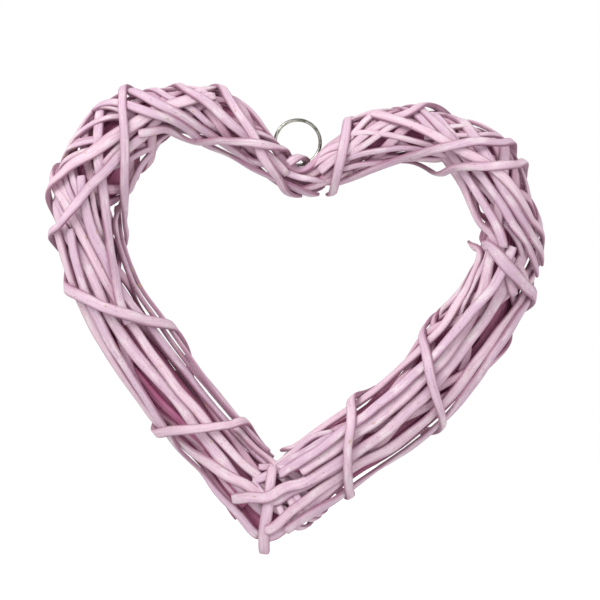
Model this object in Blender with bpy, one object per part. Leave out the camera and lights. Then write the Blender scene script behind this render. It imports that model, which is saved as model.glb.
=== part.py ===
"""Openwork wicker heart that hangs from a small metal ring.

The heart is a closed band of flat willow strips wound round and round the
same hollow heart-shaped tube, laid one over the other and left open between.
Every strip and the ring is a solid of its own.
"""
import bmesh
import bpy
import numpy as np
from mathutils.bvhtree import BVHTree

# Driving sizes, in metres
HEART_WIDTH = 0.255
BAND_DEPTH = 0.040
STRIP_THICKNESS = 0.0012
STRIP_GAP = 0.00036
PILE_DEPTH = 0.0082
GROUP_INSETS = (
    ("winding", 0.0080), ("front", 0.0082), ("binding", 0.0052),
    ("tip", 0.0052), ("ring_tie", 0.0090),
)
RING_OUTER_DIAMETER = 0.025
RING_WIRE_DIAMETER = 0.0018
RING_CLEARANCE = 0.0004
RING_DROP = 0.0009

# Fineness of the strips
LONGEST_STEP = 0.0190
LARGEST_TURN = 0.46
PATH_SAMPLES = 240
VIEW_ORIGIN = (303.0, 180.0)
VIEW_UNIT = 0.00051354
VIEW_STEP = 9.0
VIEW_JUMP = 9.0
VIEW_INSET = 0.0022
VIEW_TAUTNESS = 2.0
RISES_FORWARD = 50.0
RISES_OUTWARD = 86.0
LEAST_RISE = 0.4
VIEW_REACH = 0.0042
VIEW_DAMPING = 0.004
TAIL_EDGE = 50.0
TAIL_TURN = 1.9
TAIL_SLOWING = 0.8
POINT_SPACING = 0.0024
REACH = 0.0022
PILE_CELL = 0.012
SETTLE_ROUNDS = 34
LIFT_ROUNDS = 24
SETTLE_DROP = 0.0010
TIGHTNESS = 0.5
STRAIGHT_REACH = 0.0085
RING_AROUND = 32
RING_WIRE_SIDES = 6

# The deepest strips: on either side this many strips of each hand wind round the
# band to the tip, by this many degrees up to each station. One hand starts beyond the
# notch, apart from the strips that would cross the ring; the rest start past NOTCH_END
WINDINGS = 4
WINDING_TURN = (
    (-6, 0), (3, 26), (9, 70), (16, 160), (30, 356), (44, 552),
    (53, 670), (61, 745), (72, 800), (85, 850), (97, 890),
)
WINDING_WIDTHS = (5.2, 4.7, 5.6, 5.0)
WINDING_PACE = (1.0, 0.94, 1.05, 0.97, 1.03)
RING_SIDE = (50, 180)
NOTCH_END = 8

# Extra room in mm that the crowded strips take on the hole's side, by station
CROWDING = (
    (0, 2.4), (10, 1.5), (18, 0.5), (30, 1.5), (45, 0.5), (90, 0.0), (110, 0.0),
    (145, 0.5), (158, 3.2), (168, 5.0), (176, 4.6), (184, 2.5), (192, 1.5),
)

# The strip that ties the ring in, by station and angle
TIE_ROW = ("ring_tie_strip", 4.4, ((3.5, -10), (1.5, 40), (0, 88), (-1, 125), (-2, 165), (-3.5, 215)))

# The band's outline: station, then the outer and the inner edge (x, z) as
# shares of the heart's width, from the notch round the left lobe to the tip and back
OUTLINE = (
    (0, 0.000, 0.032, 0.002, -0.036),
    (7, -0.057, 0.079, -0.086, -0.006),
    (14, -0.131, 0.150, -0.154, 0.028),
    (20, -0.219, 0.172, -0.222, 0.046),
    (25, -0.301, 0.161, -0.267, 0.048),
    (32, -0.410, 0.132, -0.297, -0.006),
    (39, -0.477, 0.040, -0.325, -0.074),
    (47, -0.500, -0.075, -0.351, -0.128),
    (53, -0.487, -0.176, -0.341, -0.184),
    (58, -0.460, -0.266, -0.317, -0.234),
    (69, -0.373, -0.396, -0.247, -0.316),
    (81, -0.260, -0.516, -0.154, -0.417),
    (91, -0.149, -0.613, -0.062, -0.500),
    (96, -0.086, -0.700, -0.014, -0.536),
    (100, -0.002, -0.776, 0.012, -0.550),
    (104, 0.076, -0.716, 0.028, -0.530),
    (110, 0.173, -0.617, 0.062, -0.482),
    (120, 0.285, -0.524, 0.148, -0.412),
    (130, 0.385, -0.412, 0.226, -0.334),
    (140, 0.463, -0.294, 0.274, -0.246),
    (149, 0.485, -0.160, 0.326, -0.174),
    (155, 0.482, -0.058, 0.354, -0.122),
    (161, 0.458, 0.040, 0.357, -0.076),
    (168, 0.394, 0.137, 0.325, -0.020),
    (176, 0.283, 0.171, 0.275, 0.030),
    (182, 0.202, 0.171, 0.212, 0.038),
    (188, 0.112, 0.162, 0.141, 0.014),
    (195, 0.043, 0.097, 0.070, -0.014),
)

# Every strip: name, width in millimetres, its way as marks on the front view
# (see VIEW_ORIGIN), and the millimetres it goes on unseen past its first and last mark
STRANDS = (
    # upper strips of the left side
    ("left_front_strip_1", 6.0, ((67, 228), (96, 268), (113, 317), (135, 349), (158, 372), (176, 393),
        (198, 424), (232, 470), (262, 505)), 19, 6),
    ("left_front_strip_2", 5.2, ((58, 186), (76, 216), (98, 257), (115, 290), (136, 326), (160, 363),
        (189, 399), (214, 430), (250, 470), (284, 500)), 19, 3),
    ("left_front_strip_3", 5.6, ((88, 205), (100, 245), (112, 272), (132, 303), (156, 333), (189, 372),
        (221, 412), (245, 441), (270, 464), (300, 488), (318, 502)), 15, 3),
    ("left_front_strip_4", 6.0, ((70, 262), (85, 305), (106, 344), (132, 386), (160, 424), (182, 443),
        (221, 466), (260, 491), (284, 507), (298, 516)), 18, 3),
    ("left_front_strip_5", 5.0, ((82, 258), (98, 312), (120, 350), (142, 388), (176, 440), (197, 466),
        (221, 493), (242, 516), (256, 531)), 15, 3),
    ("left_front_strip_6", 5.0, ((118, 222), (134, 262), (150, 300), (172, 338), (202, 376), (233, 415),
        (270, 452)), 18, 4),
    ("left_front_strip_7", 4.8, ((126, 228), (140, 262), (160, 300), (189, 348), (214, 382), (243, 420),
        (268, 446)), 15, 3),
    ("left_front_strip_8", 5.4, ((103, 108), (101, 155), (105, 185), (110, 220), (115, 262),
        (121, 288)), 22, 22),
    ("left_front_strip_9", 5.0, ((57, 239), (77, 211), (98, 184), (121, 162), (134, 148), (168, 121),
        (189, 101), (216, 88)), 23, 21),
    ("left_front_strip_10", 6.4, ((65, 178), (82, 167), (97, 158), (110, 150), (121, 141), (133, 131),
        (165, 117), (186, 106)), 22, 14),
    ("left_front_strip_11", 5.0, ((164, 83), (193, 97), (220, 123), (245, 145), (262, 160)), 22, 15),
    ("left_front_strip_12", 5.0, ((133, 94), (150, 100), (175, 112), (200, 126), (224, 144), (252, 160),
        (276, 184), (298, 197)), 21, 16),
    ("left_front_strip_13", 4.8, ((133, 113), (150, 119), (178, 128), (212, 147), (250, 165),
        (279, 184), (303, 193)), 19, 8),
    ("left_front_strip_14", 5.0, ((218, 90), (235, 109), (250, 138), (262, 160), (276, 176)), 21, 18),
    ("left_front_strip_15", 4.8, ((166, 130), (196, 138), (222, 146), (250, 146), (278, 148),
        (301, 163)), 14, 4),
    # short strip that stands at the tip
    ("tip_strip", 5.8, ((271, 478), (269, 497), (266, 520), (264, 552)), 10, 0),
    # upper strips of the right side
    ("right_front_strip_1", 5.6, ((520, 300), (482, 352), (452, 392), (420, 424), (382, 450),
        (352, 465), (325, 482), (298, 502), (275, 524)), 19, 6),
    ("right_front_strip_2", 5.2, ((526, 300), (505, 330), (474, 378), (442, 419), (404, 455),
        (366, 477), (330, 498), (296, 520)), 18, 6),
    ("right_front_strip_3", 6.0, ((540, 210), (532, 232), (514, 267), (494, 300), (466, 340),
        (436, 378), (398, 418), (356, 448), (316, 474), (266, 492), (246, 497)), 19, 6),
    ("right_front_strip_4", 6.0, ((504, 152), (503, 174), (498, 201), (493, 245), (482, 292),
        (462, 330), (436, 362), (400, 396), (356, 428), (306, 462)), 21, 4),
    ("right_front_strip_5", 5.4, ((447, 150), (460, 175), (477, 211), (491, 238), (504, 262)), 8, 14),
    ("right_front_strip_6", 5.0, ((480, 251), (470, 280), (452, 310), (430, 340), (392, 372),
        (343, 412), (286, 450)), 15, 3),
    ("right_front_strip_7", 5.2, ((496, 276), (476, 306), (446, 344), (414, 376), (370, 412),
        (326, 445), (284, 473)), 15, 3),
    ("right_front_strip_8", 5.0, ((400, 106), (414, 118), (432, 138), (450, 160), (464, 184),
        (479, 211), (492, 232)), 19, 10),
    ("right_front_strip_9", 5.0, ((410, 106), (430, 124), (448, 146), (472, 170), (494, 200),
        (512, 228), (526, 246)), 21, 13),
    ("right_front_strip_10", 6.6, ((447, 106), (456, 115), (465, 130), (474, 148), (488, 167),
        (504, 196), (520, 222), (530, 240)), 21, 12),
    ("right_front_strip_11", 4.8, ((341, 158), (356, 143), (380, 126), (405, 115), (430, 112)), 12, 16),
    ("right_front_strip_12", 5.2, ((354, 118), (372, 114), (404, 127), (436, 146), (471, 167),
        (496, 186), (514, 208), (527, 228), (533, 250)), 8, 11),
    # strips that lie over all the others
    ("binding_strip_1", 4.8, ((340, 183), (366, 173), (394, 163), (433, 153), (461, 147), (485, 145),
        (508, 147), (517, 151)), 4, 23),
    ("binding_strip_2", 4.6, ((420, 169), (442, 171), (480, 169), (505, 167), (523, 166)), 12, 22),
    ("binding_strip_3", 6.8, ((487, 246), (497, 257), (509, 268), (522, 284), (528, 300)), 3, 22),
    ("binding_strip_4", 5.0, ((427, 327), (421, 342), (421, 357), (428, 380), (437, 403),
        (441, 420)), 21, 21),
    ("binding_strip_5", 5.0, ((356, 400), (349, 415), (346, 435), (346, 457), (349, 494)), 21, 21),
    ("binding_strip_6", 6.0, ((68, 285), (82, 297), (100, 305), (118, 311), (144, 318), (167, 331),
        (188, 351)), 22, 21),
    ("binding_strip_7", 5.0, ((156, 429), (176, 430), (198, 428), (229, 423), (246, 426),
        (262, 437)), 21, 8),
    ("binding_strip_8", 4.8, ((126, 90), (127, 113), (127, 136), (129, 160), (128, 185), (125, 205),
        (122, 225)), 23, 19),
    ("binding_strip_9", 4.8, ((347, 118), (346, 132), (343, 150), (337, 174), (332, 190)), 16, 5),
)

LOOP = 200.0
MILLIMETRE = 0.001
HANG_TILT = np.radians(6.3)
RING_PLACE = (-0.019, 0.0772)
NOTCH_DEPTH_SHARE = 0.62
NOTCH_REACH = 11.0
LEAST_CORE = 0.5
RING_TIE = "ring_tie_strip"
LEAST_AGREEMENT = 0.05
PART_ROUNDS = 30
TRIANGLES_PER_RUN = 8
PART_MARGIN = 0.00022
PART_LIFT = 0.00025
SLIDE_ROUNDS = 40
SIDE_ROOM = 0.8
SLIDE_PARTS = 4
SLIDE_CELL = 0.0095
SLIDE_AHEAD = 0.0038
SLIDE_SHARE = 0.30
SLIDE_RETURN = 0.03
SLIDE_SMOOTHING = 3
RUNS_ALONG = 0.86
SECOND_LOOK = 14


def clear_scene():
    for thing in list(bpy.data.objects):
        bpy.data.objects.remove(thing, do_unlink=True)


def closed_curve(rows, stations):
    """Smooth closed curve through the rows' values, read at the given stations."""
    marks = np.array([row[0] for row in rows], float)
    values = np.array([row[1:] for row in rows], float)
    spans = np.diff(np.r_[marks, marks[0] + LOOP])
    rate = (np.roll(values, -1, 0) - values) / spans[:, None]
    rate_before = np.roll(rate, 1, 0)
    span_before = np.roll(spans, 1)
    slope = (rate_before * spans[:, None] + rate * span_before[:, None]) / (spans + span_before)[:, None]
    wrapped = np.mod(stations, LOOP)
    here = np.searchsorted(marks, wrapped, side="right") - 1
    there = (here + 1) % len(marks)
    t = ((wrapped - marks[here]) / spans[here])[:, None]
    span = spans[here][:, None]
    start = (2 * t ** 3 - 3 * t ** 2 + 1) * values[here] + (t ** 3 - 2 * t ** 2 + t) * span * slope[here]
    end = (3 * t ** 2 - 2 * t ** 3) * values[there] + (t ** 3 - t ** 2) * span * slope[there]
    return start + end


def band_surface(stations, degrees, inset):
    """Points and outward directions on the band's tube, set in from its outline."""
    rows = closed_curve(OUTLINE, stations) * HEART_WIDTH
    middle = (rows[:, :2] + rows[:, 2:]) / 2
    across = (rows[:, :2] - rows[:, 2:]) / 2
    half = np.linalg.norm(across, axis=1)
    outward = across / half[:, None]
    crowd = closed_curve(CROWDING, stations)[:, 0] * MILLIMETRE * min(inset / PILE_DEPTH, 1.0) / 2
    middle = middle + outward * crowd[:, None]
    half = half - crowd
    nearness = np.exp(-(np.minimum(stations % LOOP, LOOP - stations % LOOP) / NOTCH_REACH) ** 2)
    deep = BAND_DEPTH / 2 * (1 - (1 - NOTCH_DEPTH_SHARE) * nearness)
    core_half = np.maximum(half - inset, half * LEAST_CORE)
    core_deep = np.maximum(deep - inset, deep * LEAST_CORE)
    turn = np.radians(degrees)
    side = core_half * np.sin(turn)
    forward = -core_deep * np.cos(turn)
    x = middle[:, 0] + side * outward[:, 0]
    z = middle[:, 1] + side * outward[:, 1]
    points = np.stack([x, forward, z], 1)
    lean = np.sin(turn) / core_half
    face = np.cos(turn) / core_deep
    normals = np.stack([lean * outward[:, 0], -face, lean * outward[:, 1]], 1)
    return points, unit(normals)


def unit(vectors):
    return vectors / np.linalg.norm(vectors, axis=-1, keepdims=True)


def smooth_way(marks, count):
    """Smooth run of (station, degrees) through a strip's marks."""
    marks = np.array(marks, float)
    span = np.linalg.norm(np.diff(marks * (1.0, 0.1), axis=0), axis=1)
    at = np.r_[0, np.cumsum(span)]
    rate = np.diff(marks, axis=0) / span[:, None]
    slope = np.empty_like(marks)
    slope[0] = rate[0]
    slope[-1] = rate[-1]
    weighed = rate[:-1] * span[1:, None] + rate[1:] * span[:-1, None]
    slope[1:-1] = weighed / (span[1:] + span[:-1])[:, None]
    u = np.linspace(0, at[-1], count)
    k = np.clip(np.searchsorted(at, u, side="right") - 1, 0, len(span) - 1)
    h = span[k][:, None]
    t = ((u - at[k]) / span[k])[:, None]
    start = (2 * t ** 3 - 3 * t ** 2 + 1) * marks[k] + (t ** 3 - 2 * t ** 2 + t) * h * slope[k]
    end = (3 * t ** 2 - 2 * t ** 3) * marks[k + 1] + (t ** 3 - t ** 2) * h * slope[k + 1]
    return start + end


def surface_step(way, shift):
    """Change of (station, degrees) that moves points on the band by the given shift."""
    nudge = 0.5
    points, _ = band_surface(way[:, 0], way[:, 1], PILE_DEPTH / 2)
    ahead, _ = band_surface(way[:, 0] + nudge, way[:, 1], PILE_DEPTH / 2)
    round_it, _ = band_surface(way[:, 0], way[:, 1] + nudge, PILE_DEPTH / 2)
    per_station = (ahead - points) / nudge
    per_degree = (round_it - points) / nudge
    along = (per_station ** 2).sum(1)
    around = (per_degree ** 2).sum(1)
    cross = (per_station * per_degree).sum(1)
    a = (shift * per_station).sum(1)
    b = (shift * per_degree).sum(1)
    scale = along * around - cross ** 2
    return np.stack([(a * around - b * cross) / scale, (b * along - a * cross) / scale], 1)


def straightened(way, reach):
    """The same way with wobbles shorter than a reach drawn out, as on a strip pulled tight."""
    points, _ = band_surface(way[:, 0], way[:, 1], PILE_DEPTH / 2)
    step = np.linalg.norm(np.diff(points, axis=0), axis=1).mean()
    return drawn_out(way, reach / step)


def drawn_out(places, reach):
    """Evenly spaced places along a curve, with bends shorter than a reach, in places, smoothed."""
    bend = np.diff(np.eye(len(places)), 2, axis=0)
    return np.linalg.solve(np.eye(len(places)) + reach ** 4 * bend.T @ bend, places)


def laid_base(way, name):
    """Where a strip lies with nothing under it, its facing there and the way it rises."""
    inset = laid_inset(name)
    if "winding" in name or name == RING_TIE:
        base, normals = band_surface(way[:, 0], way[:, 1], inset)
        return base, normals, normals
    base, normals = band_surface(way[:, 0], way[:, 1], VIEW_INSET)
    turned = np.abs(way[:, 1:]) - RISES_FORWARD
    share = np.clip(turned / (RISES_OUTWARD - RISES_FORWARD), 0, 1)
    rise = unit(normals * share - (1 - share) * np.array([0.0, 1.0, 0.0]))
    return base - rise * (inset - VIEW_INSET), normals, rise


def on_view(stations, degrees):
    """Where places on the band stand on the front view."""
    points, _ = band_surface(stations, degrees, VIEW_INSET)
    cos = np.cos(HANG_TILT)
    sin = np.sin(HANG_TILT)
    across = points[:, 0] * cos + points[:, 2] * sin
    down = points[:, 0] * sin - points[:, 2] * cos
    return np.stack([across, down], 1) / VIEW_UNIT + VIEW_ORIGIN


def closer_place(way, seen):
    """Move stations and angles until they stand on the given spots of the front view."""
    for _ in range(3):
        spots = on_view(way[:, 0], way[:, 1])
        per_station = on_view(way[:, 0] + 0.3, way[:, 1]) - spots
        per_angle = on_view(way[:, 0], way[:, 1] + 2.0) - spots
        for k, miss in enumerate(seen - spots):
            pair = np.stack([per_station[k], per_angle[k]], 1)
            step = np.linalg.solve(pair.T @ pair + VIEW_DAMPING * np.eye(2), pair.T @ miss)
            way[k] += np.clip(step, -2, 2) * (0.3, 2.0)
        way[:, 1] = np.clip(way[:, 1], -89.0, 89.0)
    return way


def way_from_view(marks, before, after):
    """Stations and angles of a strip that is marked on the front view, with its unseen ends."""
    marks = np.array(marks, float)
    length = np.r_[0, np.cumsum(np.linalg.norm(np.diff(marks, axis=0), axis=1))]
    count = max(int(length[-1] / VIEW_STEP), 3)
    at = np.linspace(0, length[-1], count + 1)
    seen = drawn_out(np.stack([np.interp(at, length, marks[:, k]) for k in (0, 1)], 1), VIEW_TAUTNESS)
    stations, degrees = np.meshgrid(np.arange(0.0, LOOP, 0.5), np.arange(-88.0, 89.0, 2.0), indexing="ij")
    places = np.stack([stations.ravel(), degrees.ravel()], 1)
    grid = on_view(places[:, 0], places[:, 1])
    way = []
    for spot in seen:
        far = ((grid - spot) ** 2).sum(1)
        if way:
            apart = np.abs((places[:, 0] - way[-1][0] + LOOP / 2) % LOOP - LOOP / 2)
            far = far + np.where(apart > VIEW_JUMP, 1e6, 0.0)
        way.append(places[far.argmin()].copy())
    way = np.array(way)
    way[:, 0] = np.unwrap(way[:, 0], period=LOOP)
    way = closer_place(way, seen)
    for reach, end, inner in ((before, 0, min(3, count)), (after, -1, -1 - min(3, count))):
        if reach:
            points, _ = band_surface(way[[inner, end], 0], way[[inner, end], 1], VIEW_INSET)
            pace = (way[end] - way[inner]) / np.linalg.norm(points[1] - points[0]) * MILLIMETRE
            if abs(way[end, 1]) > TAIL_EDGE and abs(pace[1]) < TAIL_TURN:
                pace = np.array([pace[0] * TAIL_SLOWING, np.sign(way[end, 1]) * TAIL_TURN])
            steps = [way[end] + pace * reach * part for part in (0.34, 0.67, 1.0)]
            way = np.array(steps[::-1] + list(way)) if end == 0 else np.array(list(way) + steps)
    return way


def strip_stations(marks, reach):
    """Stations and angles of a strip's corners, closer together where it bends."""
    way = straightened(smooth_way(marks, PATH_SAMPLES), reach)
    points, _ = band_surface(way[:, 0], way[:, 1], PILE_DEPTH / 2)
    steps = np.diff(points, axis=0)
    length = np.linalg.norm(steps, axis=1)
    heading = unit(steps)
    turned = np.arccos(np.clip((heading[:-1] * heading[1:]).sum(1), -1, 1))
    bend = np.r_[turned[0], (turned[:-1] + turned[1:]) / 2, turned[-1]]
    cost = np.maximum(bend / LARGEST_TURN, length / LONGEST_STEP)
    total = np.r_[0, np.cumsum(cost)]
    count = max(int(np.ceil(total[-1])), 3)
    picks = np.interp(np.linspace(0, total[-1], count + 1), total, np.arange(PATH_SAMPLES))
    return np.stack([np.interp(picks, np.arange(PATH_SAMPLES), way[:, k]) for k in (0, 1)], 1)


def laid_inset(name):
    """How far inside the outline a strip may sink, by its group."""
    for group, inset in GROUP_INSETS:
        if group in name:
            return inset
    return PILE_DEPTH


def winding_rows():
    """Name, width and marks of the strips that wind round the band in both hands."""
    rows = []
    for k in range(WINDINGS):
        for hand in (1, -1):
            for side in ("left", "right"):
                number = 2 * k + (1 if hand > 0 else 2)
                first = 360 / WINDINGS * (k + (0.5 if hand < 0 else 0)) + (17 if side == "right" else 0)
                pace = WINDING_PACE[len(rows) % len(WINDING_PACE)]
                past_notch = hand > 0 and not RING_SIDE[0] < first < RING_SIDE[1]
                turns = [(station, first + hand * pace * turn) for station, turn in WINDING_TURN
                         if past_notch or station > NOTCH_END]
                if side == "right":
                    turns = [(LOOP - station, angle) for station, angle in turns]
                width = WINDING_WIDTHS[len(rows) % len(WINDING_WIDTHS)]
                rows.append(("%s_winding_strip_%d" % (side, number), width, turns))
    return rows


def slide_spots(joined, before, after, low, share):
    """Spots along every strip with their heading, side and facing."""
    points, normals = band_surface(joined[:, 0], joined[:, 1], PILE_DEPTH / 2)
    side = unit(np.cross(unit(points[after] - points[before]), normals))
    spots = points[low] * (1 - share) + points[low + 1] * share
    ways_on = unit(points[low + 1] - points[low])
    return spots, ways_on, unit(side[low] * (1 - share) + side[low + 1] * share), normals[low]


def side_by_side(ways, widths):
    """Slide strips that run along each other apart until they lie side by side."""
    owner = np.concatenate([np.full(len(way), k) for k, way in enumerate(ways)])
    joined = np.concatenate(ways)
    start = joined.copy()
    ends = np.nonzero(np.r_[True, owner[1:] != owner[:-1]])[0]
    count = len(joined)
    before = np.maximum(np.arange(count) - 1, ends[owner])
    last = np.r_[ends[1:], count] - 1
    after = np.minimum(np.arange(count) + 1, last[owner])
    inner = np.nonzero(owner[:-1] == owner[1:])[0]
    share = np.tile((np.arange(SLIDE_PARTS) + 0.5) / SLIDE_PARTS, len(inner))[:, None]
    low = np.repeat(inner, SLIDE_PARTS)
    width = widths[owner[low]]
    spots, ways_on, sides, facing = slide_spots(joined, before, after, low, share)
    mine = []
    other = []
    for first in range(0, len(low), 128):
        part = slice(first, first + 128)
        close = ((spots[part, None, :] - spots[None]) ** 2).sum(2) < SLIDE_CELL ** 2
        close &= owner[low][part, None] != owner[low][None]
        close &= facing[part] @ facing.T > 0.5
        close &= np.abs(ways_on[part] @ ways_on.T) > RUNS_ALONG
        a, b = np.nonzero(close)
        mine.append(a + first)
        other.append(b)
    mine = np.concatenate(mine)
    other = np.concatenate(other)
    room = ((width[mine] + width[other]) / 2 + STRIP_GAP) * SIDE_ROOM
    for _ in range(SLIDE_ROUNDS):
        spots, ways_on, sides, facing = slide_spots(joined, before, after, low, share)
        gap = spots[mine] - spots[other]
        aside = (gap * sides[mine]).sum(1)
        ahead = np.abs((gap * ways_on[mine]).sum(1))
        need = room - np.abs(aside)
        touching = (need > 0) & (ahead < SLIDE_AHEAD)
        push = np.zeros(len(low))
        weight = np.zeros(len(low))
        np.add.at(push, mine[touching], (np.sign(aside) * need)[touching])
        np.add.at(weight, mine[touching], 1.0)
        push = push / np.maximum(weight, 1) * SLIDE_SHARE
        move = np.zeros(count)
        load = np.full(count, 1e-9)
        for node, part in ((low, 1 - share[:, 0]), (low + 1, share[:, 0])):
            np.add.at(move, node, push * part)
            np.add.at(load, node, part)
        move = move / load
        points, normals = band_surface(joined[:, 0], joined[:, 1], PILE_DEPTH / 2)
        side = unit(np.cross(unit(points[after] - points[before]), normals))
        joined += surface_step(joined, side * move[:, None])
        joined += (start - joined) * SLIDE_RETURN
        offset = joined - start
        for _ in range(SLIDE_SMOOTHING):
            offset = (offset[before] + 2 * offset + offset[after]) / 4
        joined = start + offset
    return [joined[owner == k] for k in range(len(ways))]


def strip_frames(points, normals):
    """Heading, side and face directions at every corner of a strip."""
    heading = np.empty_like(points)
    heading[1:-1] = unit(unit(points[1:-1] - points[:-2]) + unit(points[2:] - points[1:-1]))
    heading[0] = unit(points[1] - points[0])
    heading[-1] = unit(points[-1] - points[-2])
    face = unit(normals - (normals * heading).sum(1, keepdims=True) * heading)
    return heading, np.cross(heading, face), face


def sample_table(points):
    """Where the check points sit along the corners: lower corner and share."""
    length = np.linalg.norm(np.diff(points, axis=0), axis=1)
    lower = []
    share = []
    for k, run in enumerate(length):
        parts = max(int(np.ceil(run / POINT_SPACING)), 1)
        for j in range(parts):
            lower.append(k)
            share.append(j / parts)
    lower.append(len(length) - 1)
    share.append(1.0)
    return np.array(lower), np.array(share)


def spread(points, normals, lower, share, width):
    """Check points on the middle line and both edges of a strip."""
    _, side, face = strip_frames(points, normals)
    blend = share[:, None]
    middle = points[lower] * (1 - blend) + points[lower + 1] * blend
    sideways = side[lower] * (1 - blend) + side[lower + 1] * blend
    facing = unit(face[lower] * (1 - blend) + face[lower + 1] * blend)
    spots = np.concatenate([middle, middle - sideways * width / 2, middle + sideways * width / 2])
    return spots, np.concatenate([facing] * 3)


class Pile:
    """Everything already laid: check points, their facing and half thickness."""

    def __init__(self):
        self.spots = np.zeros((0, 3))
        self.facing = np.zeros((0, 3))
        self.half = np.zeros(0)

    def add(self, spots, facing, half):
        self.spots = np.concatenate([self.spots, spots])
        self.facing = np.concatenate([self.facing, facing])
        self.half = np.concatenate([self.half, np.full(len(spots), half)])

    def near(self, spots, facing):
        """Pairs of a new spot and a laid spot that could touch."""
        if not len(self.spots):
            return np.zeros(0, int), np.zeros(0, int)
        low = spots.min(0) - PILE_CELL
        high = spots.max(0) + PILE_CELL
        chosen = np.nonzero(((self.spots > low) & (self.spots < high)).all(1))[0]
        mine = []
        theirs = []
        for start in range(0, len(spots), 64):
            part = slice(start, start + 64)
            gap = spots[part, None, :] - self.spots[None, chosen, :]
            close = (gap ** 2).sum(2) < PILE_CELL ** 2
            close &= facing[part] @ self.facing[chosen].T > LEAST_AGREEMENT
            a, b = np.nonzero(close)
            mine.append(a + start)
            theirs.append(chosen[b])
        return np.concatenate(mine), np.concatenate(theirs)


def off_straight(points, normals):
    """How far the straight line between each corner's neighbours lies above the corner."""
    before = np.linalg.norm(points[1:-1] - points[:-2], axis=1)[:, None]
    after = np.linalg.norm(points[2:] - points[1:-1], axis=1)[:, None]
    straight = (points[:-2] * after + points[2:] * before) / (before + after)
    return ((straight - points[1:-1]) * normals[1:-1]).sum(1)


def tightened(height, base, normals, share):
    """Heights once every corner is drawn towards the straight line between its neighbours."""
    wanted = height.copy()
    hollow = np.maximum(off_straight(base, normals), 0)
    wanted[1:-1] += share * (off_straight(base + normals * height[:, None], normals) - hollow)
    wanted[[0, -1]] -= share * SETTLE_DROP
    return np.maximum(wanted, 0.0)


def lay_strip(base, normals, rise, width, pile):
    """Lower a strip onto the pile until it rests on it, and return its corners."""
    lower, share = sample_table(base)
    count = len(base)
    height = np.zeros(count)
    half = STRIP_THICKNESS / 2
    spots, facing = spread(base + rise * PILE_DEPTH / 2, normals, lower, share, width)
    mine, theirs = pile.near(spots, facing)
    lower3 = np.tile(lower, 3)
    share3 = np.tile(share, 3)
    for step in range(SETTLE_ROUNDS + LIFT_ROUNDS):
        if step == SECOND_LOOK:
            spots, facing = spread(base + rise * height[:, None], normals, lower, share, width)
            mine, theirs = pile.near(spots, facing)
        if step < SETTLE_ROUNDS:
            height = tightened(height, base, rise, TIGHTNESS * (1 - step / SETTLE_ROUNDS))
        if not len(mine):
            continue
        points = base + rise * height[:, None]
        spots, facing = spread(points, normals, lower, share, width)
        gap = spots[mine] - pile.spots[theirs]
        above = (gap * facing[mine]).sum(1)
        aside = np.sqrt(np.maximum((gap ** 2).sum(1) - above ** 2, 0))
        need = half + pile.half[theirs] + STRIP_GAP - above
        need[(aside > REACH) | (need < 0)] = 0
        lift = np.zeros(len(spots))
        np.maximum.at(lift, mine, need)
        lean = (rise[lower3] * (1 - share3)[:, None] + rise[lower3 + 1] * share3[:, None]) * facing
        lift /= np.maximum(lean.sum(1), LEAST_RISE)
        raise_low = lift * (1 - share3)
        raise_high = lift * share3
        weight = (1 - share3) ** 2 + share3 ** 2
        low = np.zeros(count)
        high = np.zeros(count)
        np.maximum.at(low, lower3, raise_low / weight)
        np.maximum.at(high, lower3 + 1, raise_high / weight)
        height += np.maximum(low, high)
    points = base + rise * height[:, None]
    spots, facing = spread(points, normals, lower, share, width)
    pile.add(spots, facing, half)
    return points


def strip_corners(points, normals, width, thickness):
    """Four corners of the strip's section at each of its points, in rows of four."""
    _, side, face = strip_frames(points, normals)
    rows = [points + side * across * width / 2 + face * over * thickness / 2
            for across, over in ((-1, -1), (1, -1), (1, 1), (-1, 1))]
    return np.stack(rows, 1).reshape(-1, 3)


def strip_faces(count):
    """Triangles of a closed strip whose corners stand in rows of four; opposite sides bend alike."""
    faces = []
    for k in range(count - 1):
        for j in range(4):
            here = 4 * k + j
            beside = 4 * k + (j + 1) % 4
            if j < 2:
                faces.append((here, beside, beside + 4))
                faces.append((here, beside + 4, here + 4))
            else:
                faces.append((here, beside, here + 4))
                faces.append((beside, beside + 4, here + 4))
    end = 4 * count - 4
    return faces + [(2, 1, 0), (3, 2, 0), (end, end + 1, end + 2), (end, end + 2, end + 3)]


def lift_apart(strips):
    """Lift the upper one of any two strips that still touch, until none do."""
    for _ in range(PART_ROUNDS):
        trees = []
        boxes = []
        for strip in strips:
            width, thickness = strip["width"] + PART_MARGIN, STRIP_THICKNESS + PART_MARGIN
            corners = strip_corners(strip["points"], strip["normals"], width, thickness)
            trees.append(BVHTree.FromPolygons(corners.tolist(), strip_faces(len(strip["points"]))))
            boxes.append((corners.min(0), corners.max(0)))
        touching = 0
        lifts = [np.zeros(len(strip["points"])) for strip in strips]
        for upper in range(1, len(strips)):
            for lower in range(upper):
                if (boxes[upper][0] > boxes[lower][1]).any() or (boxes[lower][0] > boxes[upper][1]).any():
                    continue
                hits = trees[upper].overlap(trees[lower])
                last = len(strips[upper]["points"]) - 1
                for face, _ in hits:
                    k = min(face // TRIANGLES_PER_RUN, last - 1)
                    lifts[upper][k] = PART_LIFT
                    lifts[upper][k + 1] = PART_LIFT
                touching += len(hits)
        if not touching:
            break
        for strip, lift in zip(strips, lifts):
            strip["points"] = strip["points"] + strip["rise"] * lift[:, None]


def solid(corners, faces):
    """Closed mesh of the given corners, moved to the frame of the ring."""
    mesh = bmesh.new()
    verts = [mesh.verts.new(to_world(spot)) for spot in corners]
    for face in faces:
        mesh.faces.new([verts[k] for k in face])
    return mesh


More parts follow.
